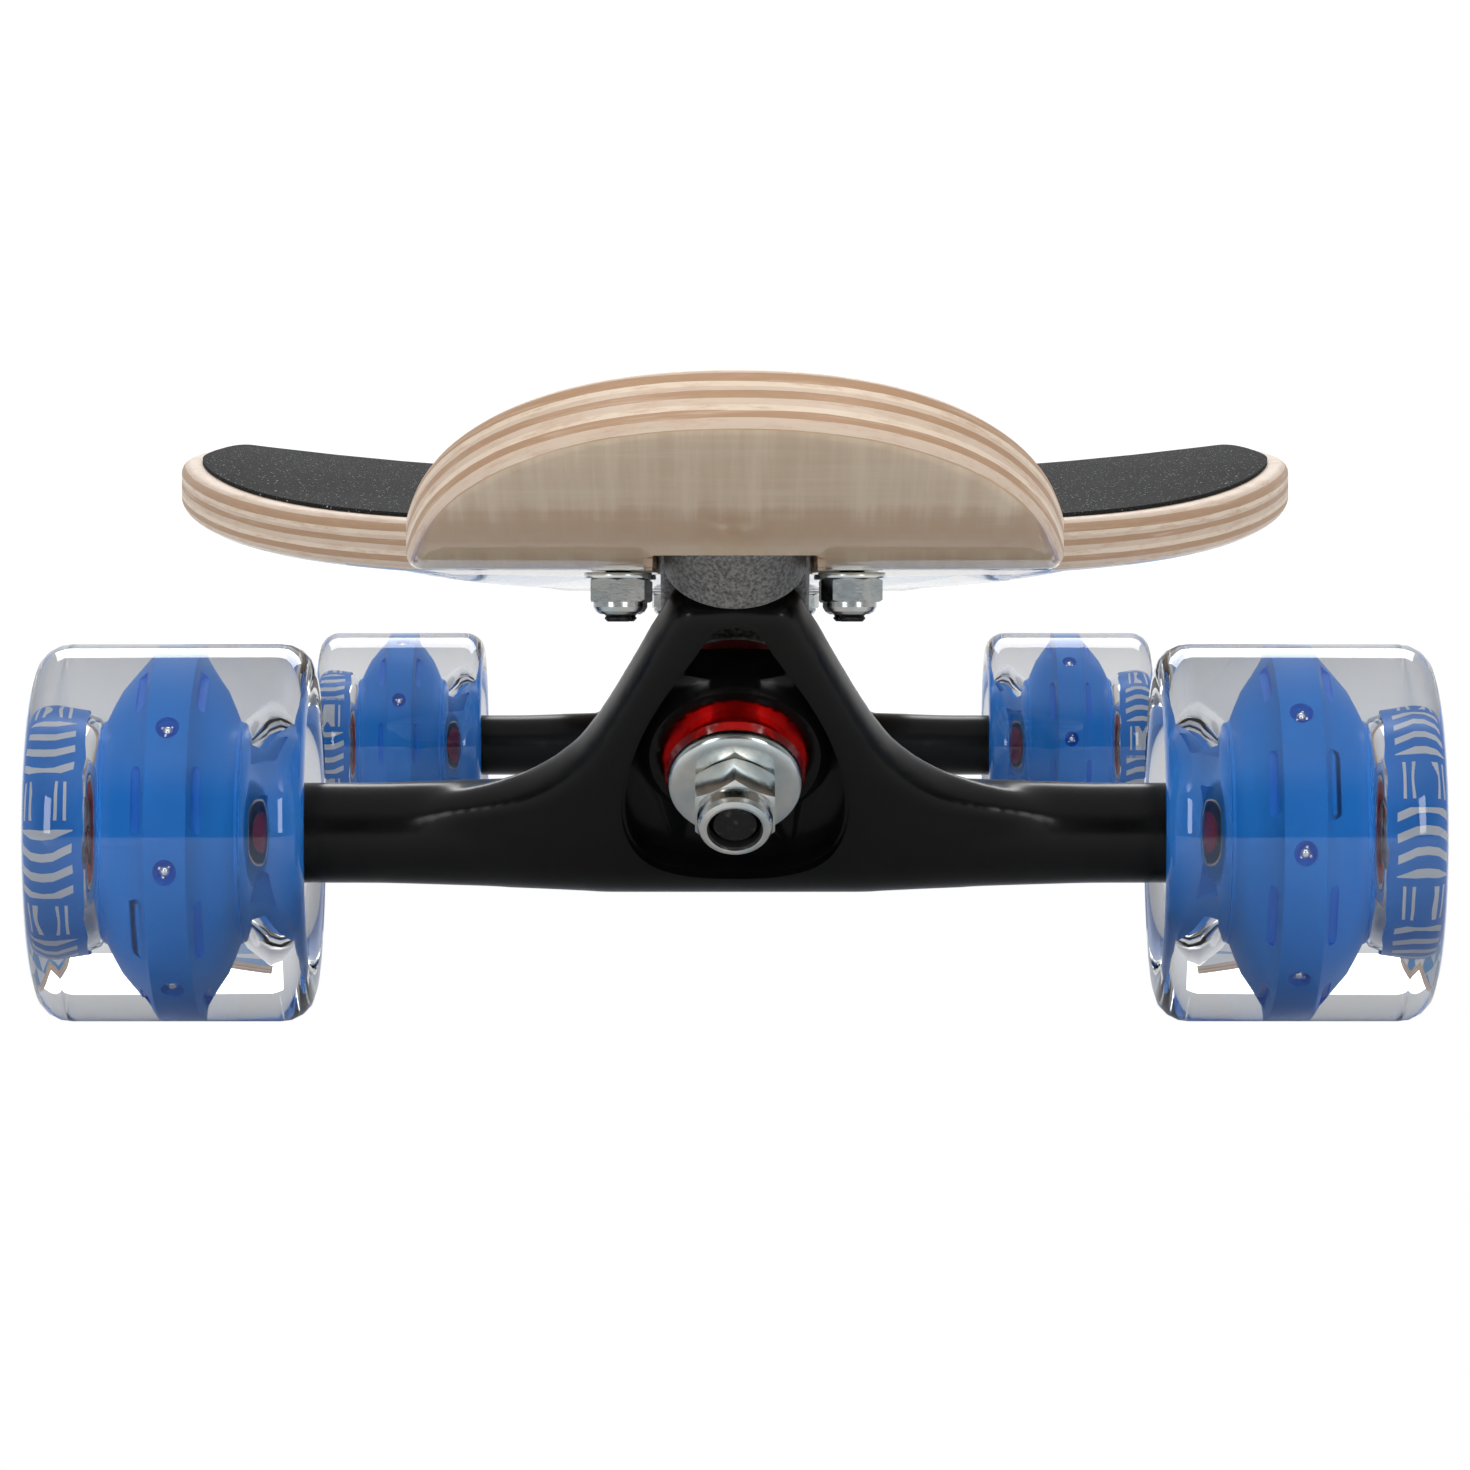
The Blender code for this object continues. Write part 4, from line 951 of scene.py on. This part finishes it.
combine(baseplate, "DIFFERENCE", settle(cut_out("pocket", pocket, -9.0, 9.0), SIDEWAYS))
bore = spun("bore", [(0.0, KINGPIN_HEAD - 3.0), (5.05, KINGPIN_HEAD - 3.0), (5.05, 0.0), (0.0, 0.0)], 32)
combine(baseplate, "DIFFERENCE", settle(bore, KINGPIN))
for x, y in bolt_places():
    hole = spun("hole", [(0.0, 60.0), (BOLT_HOLE, 60.0), (BOLT_HOLE, 120.0), (0.0, 120.0)], 20)
    combine(baseplate, "DIFFERENCE", settle(hole, shift(x, y)))
soften(baseplate, 0.25, 2, 40)
on_each_truck(baseplate, "baseplate_casting", "root", rough_cast, ["{end}_baseplate"], 40)
for end in ENDS:
    dress(f"{end}_pivot_cup", pivot_plastic)

# %% [markdown]
# ## Kingpin stack
# The kingpin clamps two bushings round the hanger's ring, each with a cupped washer on its outer
# end, all under one lock nut. The bushings are what lets the truck lean; each keeps its place in its
# mesh and is seated on no body.

# %% Kingpin stack
PIN_RADIUS = 4.75
PIN_HOLE = 5.05
WASHER_OUTER, WASHER_SHEET, WASHER_CUP = 12.2, 1.1, 1.4
ROLL = 2.2
END_RADIUS = 11.1
GAP = 0.3
board_end = KINGPIN_FACE + WASHER_SHEET + 2 * GAP
road_end = ROADSIDE_SEAT + 10.5 + GAP
nut_start = ROADSIDE_SEAT + 10.5 + 2 * GAP + WASHER_SHEET + GAP
NUT_FLATS, NUT_HEIGHT = 14.3, 10.7
pin_end = nut_start + NUT_HEIGHT - 1.5


def threaded(radius, low, high, pitch=1.0, depth=0.3):
    """Profile points of a thread, as rings a pitch apart."""
    points = []
    along = low
    while along < high - pitch:
        points += [(radius, along), (radius, along + pitch * 0.25), (radius - depth, along + pitch * 0.6),
                   (radius, along + pitch * 0.95)]
        along += pitch
    return points


def hexagon(apothem):
    return [(apothem / math.cos(math.pi / 6) * math.cos(math.pi / 3 * k),
             apothem / math.cos(math.pi / 6) * math.sin(math.pi / 3 * k)) for k in range(6)]


def lock_nut(name, flats, height, bore):
    """A hexagon with turned-down corners, a round collar over it, and a plain round bore."""
    shoulder = height * 0.66
    corner = flats / 2 / math.cos(math.pi / 6)
    collar = flats / 2 - 0.35
    nut = cut_out(name, hexagon(flats / 2), 0.0, shoulder)
    cone = spun("cone", [(0.0, 0.0), (flats / 2, 0.0), (corner + 0.05, (corner - flats / 2) * 0.6),
                         (corner + 0.05, shoulder - (corner - flats / 2) * 0.6), (flats / 2 + 0.1, shoulder),
                         (0.0, shoulder)], 72)
    combine(nut, "INTERSECT", cone)
    top = spun("collar", [(0.0, shoulder - 1.0), (collar, shoulder - 1.0), (collar, height - 1.3),
                          (collar - 0.5, height - 0.5), (collar - 1.3, height), (collar - 1.9, height - 0.15),
                          (0.0, height - 0.15)], 72)
    combine(nut, "UNION", top)
    hole = spun("hole", [(0.0, -2.0), (bore, -2.0), (bore, height + 2.0), (0.0, height + 2.0)], 48)
    combine(nut, "DIFFERENCE", hole)
    return soften(nut, 0.16, 2, 30)


def cupped_washer(name, face, towards):
    """Flat on the bushing's end, with a rolled rim round it."""
    back_face = face - towards * WASHER_SHEET
    rim = face + towards * WASHER_CUP
    profile = [(PIN_HOLE, face), (PIN_HOLE, back_face), (WASHER_OUTER - ROLL, back_face)]
    for step in range(1, 6):
        angle = math.pi / 2 * step / 5
        rolled = back_face + towards * 1.6 * (1 - math.cos(angle))
        profile.append((WASHER_OUTER - ROLL + ROLL * math.sin(angle), rolled))
    profile += [(WASHER_OUTER, rim - towards * 0.2), (WASHER_OUTER - 0.2, rim), (END_RADIUS + 0.4, rim),
                (END_RADIUS + 0.15, face)]
    return settle(spun(name, profile, 72, ring=True), KINGPIN)


def bushing(name, near, far, bulge):
    """A barrel from its seat in the hanger to its washer. Squeezed urethane bulges."""
    size = far - near
    seated = 4.8 / abs(size)
    belly = BUSHING_RADIUS + bulge
    profile = [(5.0, near), (BUSHING_RADIUS - 0.6, near), (BUSHING_RADIUS, near + 0.06 * size),
               (BUSHING_RADIUS, near + seated * size), (belly, near + (seated + 0.12) * size),
               (belly, near + 0.76 * size), (END_RADIUS + 0.3, near + 0.93 * size),
               (END_RADIUS - 0.3, far), (5.0, far)]
    return settle(spun(name, profile, 72, ring=True), KINGPIN)


pin = spun("kingpin_bolt", [(0.0, KINGPIN_HEAD), (PIN_RADIUS, KINGPIN_HEAD), (PIN_RADIUS, 2.0),
                            *threaded(PIN_RADIUS, 2.0, pin_end - 0.8, 1.25, 0.4),
                            (PIN_RADIUS - 0.9, pin_end), (0.0, pin_end)], 48)
head = cut_out("head", hexagon(7.0), KINGPIN_HEAD - 6.3, KINGPIN_HEAD - 0.3)
combine(pin, "UNION", soften(head, 0.5))
settle(pin, KINGPIN)
on_each_truck(pin, "kingpin_bolt", "root", black_steel, ["{end}_kingpin"])
on_each_truck(cupped_washer("cup", board_end - GAP, 1), "boardside_cup_washer", "root", zinc,
              ["{end}_washer_boardside"])
on_each_truck(cupped_washer("cup", road_end + GAP, -1), "roadside_cup_washer", "root", zinc,
              ["{end}_washer_roadside"])
CORNER_UP = Matrix.Rotation(math.radians(30), 4, "Z")
nut = lock_nut("nut", NUT_FLATS, NUT_HEIGHT, PIN_HOLE)
settle(nut, KINGPIN @ shift(z=nut_start) @ CORNER_UP)
on_each_truck(nut, "kingpin_lock_nut", "root", zinc, ["{end}_kingpin_nut"], 25)
nut_top = nut_start + NUT_HEIGHT
insert = spun("insert", [(PIN_RADIUS + 0.02, nut_top - 2.6), (6.0, nut_top - 2.6), (6.0, nut_top - 0.35),
                         (PIN_RADIUS + 0.02, nut_top - 0.7)], 48, ring=True)
on_each_truck(settle(insert, KINGPIN), "kingpin_nylon_ring", "root", nylon)

for side, near, far, bulge in (("boardside", BOARDSIDE_SEAT, board_end, 1.2),
                               ("roadside", ROADSIDE_SEAT, road_end, -0.3)):
    master = bushing(f"{side}_bushing", near, far, bulge)
    for end, truck in TRUCKS.items():
        made = copied(master, f"{end}_{side}_bushing", truck)
        finish(made, None, red_urethane, [f"{end}_bushing_{side}"])
        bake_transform(made)
    bpy.data.objects.remove(master)

# %% [markdown]
# ## Mounting hardware
# Four bolts on each truck pass down through flange and deck. Their heads have a six-sided socket,
# and below each ends in a washer and a small lock nut with a black nylon ring.

# %% Mounting hardware
BOLT_RADIUS = 2.4
MOUNT_NUT_HEIGHT = 6.4
bolt_bottom = -(5.5 + DECK_THICKNESS + 1.0 + MOUNT_NUT_HEIGHT + 1.3 + 0.9)
bolt = spun("bolt", [(0.0, bolt_bottom), (BOLT_RADIUS - 0.5, bolt_bottom),
                     *threaded(BOLT_RADIUS, bolt_bottom + 0.5, -8.0, 0.8, 0.25), (BOLT_RADIUS, 0.0),
                     (4.5, 0.0), (4.5, 1.3), (4.2, 2.0), (3.4, 2.5), (2.6, 2.6), (0.0, 2.6)], 40)
combine(bolt, "DIFFERENCE", cut_out("socket", hexagon(1.6), 0.8, 5.0))
small_nut = lock_nut("small_nut", 9.5, MOUNT_NUT_HEIGHT, BOLT_RADIUS + 0.2)
washer = soften(spun("washer", [(2.8, -1.0), (6.0, -1.0), (6.0, 0.0), (2.8, 0.0)], 56, ring=True), 0.25)
ring_bore = BOLT_RADIUS + 0.05
small_insert = spun("small_insert", [(ring_bore, MOUNT_NUT_HEIGHT - 1.9), (3.3, MOUNT_NUT_HEIGHT - 1.9),
                                     (3.3, MOUNT_NUT_HEIGHT - 0.3), (ring_bore, MOUNT_NUT_HEIGHT - 0.5)],
                    40, ring=True)
for end, truck in TRUCKS.items():
    for number, (x, y) in enumerate(bolt_places(), start=1):
        top = truck @ shift(x, y, FLANGE_TOP + GAP)
        tightened = Matrix.Rotation(0.4 * number, 4, "Z")
        under = truck @ shift(x, y, DECK_CLEARANCE - GAP - 1.0) @ UPSIDE_DOWN @ tightened
        finish(copied(bolt, f"{end}_bolt_{number}", top), "root", black_steel,
               [f"{end}_mount_bolt_{number}"])
        finish(copied(small_nut, f"{end}_lock_nut_{number}", under), "root", zinc,
               [f"{end}_mount_nut_{number}"], 25)
        finish(copied(washer, f"{end}_flat_washer_{number}", under), "root", zinc)
        finish(copied(small_insert, f"{end}_nylon_ring_{number}", under), "root", nylon)
for master in (bolt, small_nut, washer, small_insert):
    bpy.data.objects.remove(master)

# %% [markdown]
# ## Wheels
# The tyre is one turned body of clear urethane with the core cast inside it. The two are bonded,
# with no air between, so the tyre's cavity lies deeper than the core's skin and than its slots.
# Then light goes straight from urethane to plastic, as in the real wheel.

# %% Tyre
WHEEL_RADIUS, WHEEL_HALF = 35.0, 25.5
CORE_HALF = 12.5
RIDGE_RADIUS, RIDGE_HALF = 23.6, 3.8
BEARING_INNER = 5.2
WHEEL_CENTRE = 103.0

tread = [(WHEEL_RADIUS - 0.15, 0.0), (WHEEL_RADIUS - 0.15, 19.2), (34.6, 21.2), (33.6, 23.2), (32.0, 24.7),
         (29.8, 25.4)]
mouth = [(26.0, 25.45), (21.5, 25.4), (18.4, 25.1), (16.6, 24.2), (15.7, 22.6), (15.2, 19.5), (14.7, 15.5),
         (14.0, 12.9), (13.4, 12.3)]
dish = [(27.6, 25.2), (25.0, 24.6), (22.0, 22.9), (19.0, 20.2), (16.6, 17.2), (15.2, 14.6), (14.2, 12.9),
        (13.4, 12.3)]
cavity = [(12.4, 12.0), (12.6, 9.6), (14.6, 7.0), (17.6, 4.6), (18.6, 3.6), (18.6, 0.0)]
outboard = tread + mouth + cavity
inboard = [(radius, -along) for radius, along in tread + dish + cavity]
tyre = spun("tyre", outboard + list(reversed(inboard[1:-1])), 96, ring=True)

# %% Core
core_end = [(11.2, CORE_HALF - 0.1), (11.5, CORE_HALF), (13.2, CORE_HALF), (13.6, CORE_HALF - 0.3)]
core_flank = [(13.75, 11.7), (15.4, 10.7), (17.4, 9.3), (19.4, 7.1), (21.4, 5.0), (RIDGE_RADIUS, RIDGE_HALF)]
core_ridge = [(RIDGE_RADIUS + 0.15, RIDGE_HALF - 0.5), (RIDGE_RADIUS + 0.15, 0.0)]
core_half = core_end + core_flank + core_ridge
bore_half = [(9.0, 0.0), (9.0, 4.9), (11.2, 4.9)]
core = spun("core", core_half + [(radius, -along) for radius, along in reversed(core_half[:-1])]
            + [(radius, -along) for radius, along in reversed(bore_half)] + bore_half[1:], 96, ring=True)
MOULD_GROUPS = 6
for group in range(MOULD_GROUPS):
    turn = Matrix.Rotation(2 * math.pi * (group + 0.27) / MOULD_GROUPS, 4, "Z")
    for side in (-1, 1):
        slot = cut_out("slot", [(-0.8, -4.8), (-0.4, -5.4), (0.4, -5.4), (0.8, -4.8), (0.8, 4.8), (0.4, 5.4),
                                (-0.4, 5.4), (-0.8, 4.8)], 19.6, 30.0)
        stand = Matrix(((0, 0, 1, 0), (0, 1, 0, 0), (1, 0, 0, side * 5.4 * MM), (0, 0, 0, 1)))
        combine(core, "DIFFERENCE", outward_normals(settle(slot, turn @ stand)))
    half_turn = Matrix.Rotation(math.pi / MOULD_GROUPS, 4, "Z")
    dimple = spun("dimple", [(0.0, 21.2), (1.5, 21.6), (2.1, 22.4), (2.3, 30.0), (0.0, 30.0)], 28)
    lay = Matrix(((0, 0, 1, 0), (0, 1, 0, 0), (-1, 0, 0, 0), (0, 0, 0, 1)))
    combine(core, "DIFFERENCE", settle(dimple, turn @ half_turn @ lay))
print("core:", len(core.data.polygons), "faces")

# %% Bubbles, print ring, bearings
BUBBLE_DEPTH = 22.6
BUBBLES = ((0.0, 0.0, 0.95), (0.9, 0.5, 0.4), (-0.8, 0.7, 0.3), (0.3, -1.0, 0.35), (-2.6, 0.4, 0.32))


def bubble_cluster(turn):
    """Air caught in a dimple: one large bubble and a few small ones."""
    made = []
    for across, along, size in BUBBLES:
        middle = (BUBBLE_DEPTH * MM, along * MM, across * MM)
        bpy.ops.mesh.primitive_ico_sphere_add(subdivisions=2, radius=size * MM, location=middle)
        edit()
        bpy.ops.transform.resize(value=(0.7, 1.0, 1.15), center_override=middle)
        leave()
        made.append(bpy.context.object)
    cluster = joined(made)
    bpy.ops.object.transform_apply(location=True, rotation=True, scale=True)
    return settle(cluster, turn)


bubbles = joined([bubble_cluster(Matrix.Rotation(2 * math.pi * (group + 0.77) / MOULD_GROUPS, 4, "Z"))
                  for group in range(MOULD_GROUPS)])

PRINT_IN, PRINT_OUT = 15.0, 23.0


def print_ring():
    """A thin band on the mouth's wall, with a wavy outer rim."""
    middle, reach = (PRINT_IN + PRINT_OUT) / 2, (PRINT_OUT - PRINT_IN) / 2
    rows = [middle + reach * share for share in (-1.0, -0.5, 0.0, 0.5, 1.0)]
    ring = spun("print_ring", [(14.95 + (z - PRINT_IN) * 0.1, z) for z in rows], 144)
    coords = ring.data.attributes.new("ring", "FLOAT_VECTOR", "POINT")
    for vertex, value in zip(ring.data.vertices, coords.data):
        x, y, z = vertex.co
        angle = math.atan2(y, x)
        share = (z / MM - middle) / reach
        wave = 0.6 * math.sin(9 * angle) + 0.4 * math.sin(16 * angle + 1.0)
        vertex.co.z += (0.9 * wave if share > 0 else 0.25 * wave) * share * MM
        value.vector = (angle / (2 * math.pi) + 0.5, share, 0.0)
    modify(ring, "SOLIDIFY", thickness=0.1 * MM, offset=0.0)
    return ring


ring_print = print_ring()

ink = Finish("print_ink")
around, across, _ = ink.split(ink.attribute("ring"))
repeat = (around * 5.0).saw()
dashes = (around * 30.0 + across * 0.45).saw().below(0.42) * abs(across).below(0.55) * repeat.below(0.55)
rails = abs(abs(across) - 0.2).below(0.07) * repeat.above(0.62) * repeat.below(0.93)
blotch = ink.noise(ink.place(), 300.0)
ink_blue = ink.mix(blotch, (0.004, 0.20, 0.74), (0.008, 0.27, 0.88))
with_rails = ink.mix(rails, ink_blue, (0.82, 0.86, 0.90))
ink.set(Base_Color=ink.mix(dashes, with_rails, (0.80, 0.85, 0.90)), Roughness=blotch * 0.1 + 0.3)

BEARING_WIDTH = 7.0
outer_race = [(9.7, 0.0), (10.7, 0.0), (11.0, 0.3), (11.0, 6.7), (10.7, 7.0), (9.7, 7.0), (9.7, 6.3),
              (9.2, 6.0), (9.2, 1.0), (9.7, 0.7)]
inner_race = [(4.15, 0.2), (4.4, 0.0), (5.8, 0.0), (5.8, 7.0), (4.4, 7.0), (4.15, 6.8)]
races = joined([spun("outer_race", outer_race, 64, ring=True), spun("inner_race", inner_race, 64, ring=True)])
shield = [(5.95, 0.25), (6.3, 0.15), (7.4, 0.3), (9.0, 0.15), (9.6, 0.3), (9.6, 0.9), (5.95, 0.9)]
other_shield = [(radius, BEARING_WIDTH - along) for radius, along in shield]
shields = joined([spun("shield", shield, 64, ring=True), spun("shield", other_shield, 64, ring=True)])
spacer = soften(spun("spacer", [(4.15, -5.0), (5.4, -5.0), (5.4, 5.0), (4.15, 5.0)], 48, ring=True), 0.2)
speed_ring = spun("speed_ring", [(4.15, 0.05), (6.0, 0.05), (6.0, 0.7), (4.15, 0.7)], 48, ring=True)
axle_nut = lock_nut("axle_nut", 12.7, 7.7, 4.2)
axle_insert = spun("axle_insert", [(4.0, 5.6), (5.0, 5.6), (5.0, 7.3), (4.0, 7.1)], 48, ring=True)

# %% Axle
AXLE_RADIUS = 3.95
AXLE_END = 125.5
axle_thread = threaded(AXLE_RADIUS, 116.5, AXLE_END - 1.0, 1.0, 0.35)
axle_half = [(AXLE_RADIUS, 0.0), (AXLE_RADIUS, 116.4), *axle_thread, (3.2, AXLE_END), (0.0, AXLE_END)]
axle = spun("axle", [(radius, -along) for radius, along in reversed(axle_half[1:])] + axle_half[1:], 40)
on_each_truck(settle(axle, AXLE), "axle_rod", "{end}_hanger_assembly", ground_steel,
              ["{end}_axle"])

# %% Put the wheels together
TURNED = {"front_left": 0.0, "front_right": 0.35, "rear_left": 0.8, "rear_right": 0.15}
SPEED_RING = 0.8
BEARINGS = (("inboard", -BEARING_INNER - BEARING_WIDTH), ("outboard", BEARING_INNER))
BEARING_OUTER = BEARING_INNER + BEARING_WIDTH
SPEED_RINGS = (("inner", -BEARING_OUTER - SPEED_RING), ("outer", BEARING_OUTER))


def fit_wheel(wheel, hub):
    """All that spins with one wheel."""
    body = f"{wheel}_wheel_assembly"
    turned = hub @ Matrix.Rotation(TURNED[wheel], 4, "Z")
    made = copied(tyre, f"{wheel}_tyre", turned)
    finish(made, body, clear_urethane, [f"{wheel}_wheel"], 60)
    made = copied(core, f"{wheel}_hub_core", turned)
    finish(made, body, blue_core, [f"{wheel}_core"], 35)
    finish(copied(bubbles, f"{wheel}_bubbles", turned), body, glint)
    finish(copied(ring_print, f"{wheel}_print", turned), body, ink, (), 60)
    for place, low in BEARINGS:
        seat = hub @ shift(z=low)
        made = copied(races, f"{wheel}_races_{place}", seat)
        finish(made, body, ground_steel, [f"{wheel}_bearing_{place}"])
        finish(copied(shields, f"{wheel}_shields_{place}", seat), body, red_shield)
    finish(copied(spacer, f"{wheel}_spacer", hub), body, ground_steel)


def fit_axle_end(wheel, hub, body):
    """The speed rings and the nut, which stay with the axle."""
    for place, low in SPEED_RINGS:
        made = copied(speed_ring, f"{wheel}_speed_ring_{place}", hub @ shift(z=low))
        finish(made, body, zinc)
    nut_place = hub @ shift(z=BEARING_OUTER + SPEED_RING + GAP)
    made = copied(axle_nut, f"{wheel}_lock_nut", nut_place)
    finish(made, body, zinc, [f"{wheel}_axle_nut"], 25)
    finish(copied(axle_insert, f"{wheel}_nut_nylon", nut_place), body, nylon)


for end, truck in TRUCKS.items():
    for side in (-1, 1):
        hub = truck @ frame_along(ACROSS * side, AXLE_CENTRE + ACROSS * side * WHEEL_CENTRE * MM)
        wheel = f"{end}_left" if hub.translation.x < 0 else f"{end}_right"
        fit_wheel(wheel, hub)
        fit_axle_end(wheel, hub, f"{end}_hanger_assembly")
for master in (tyre, core, bubbles, ring_print, races, shields, spacer, speed_ring, axle_nut, axle_insert):
    bpy.data.objects.remove(master)
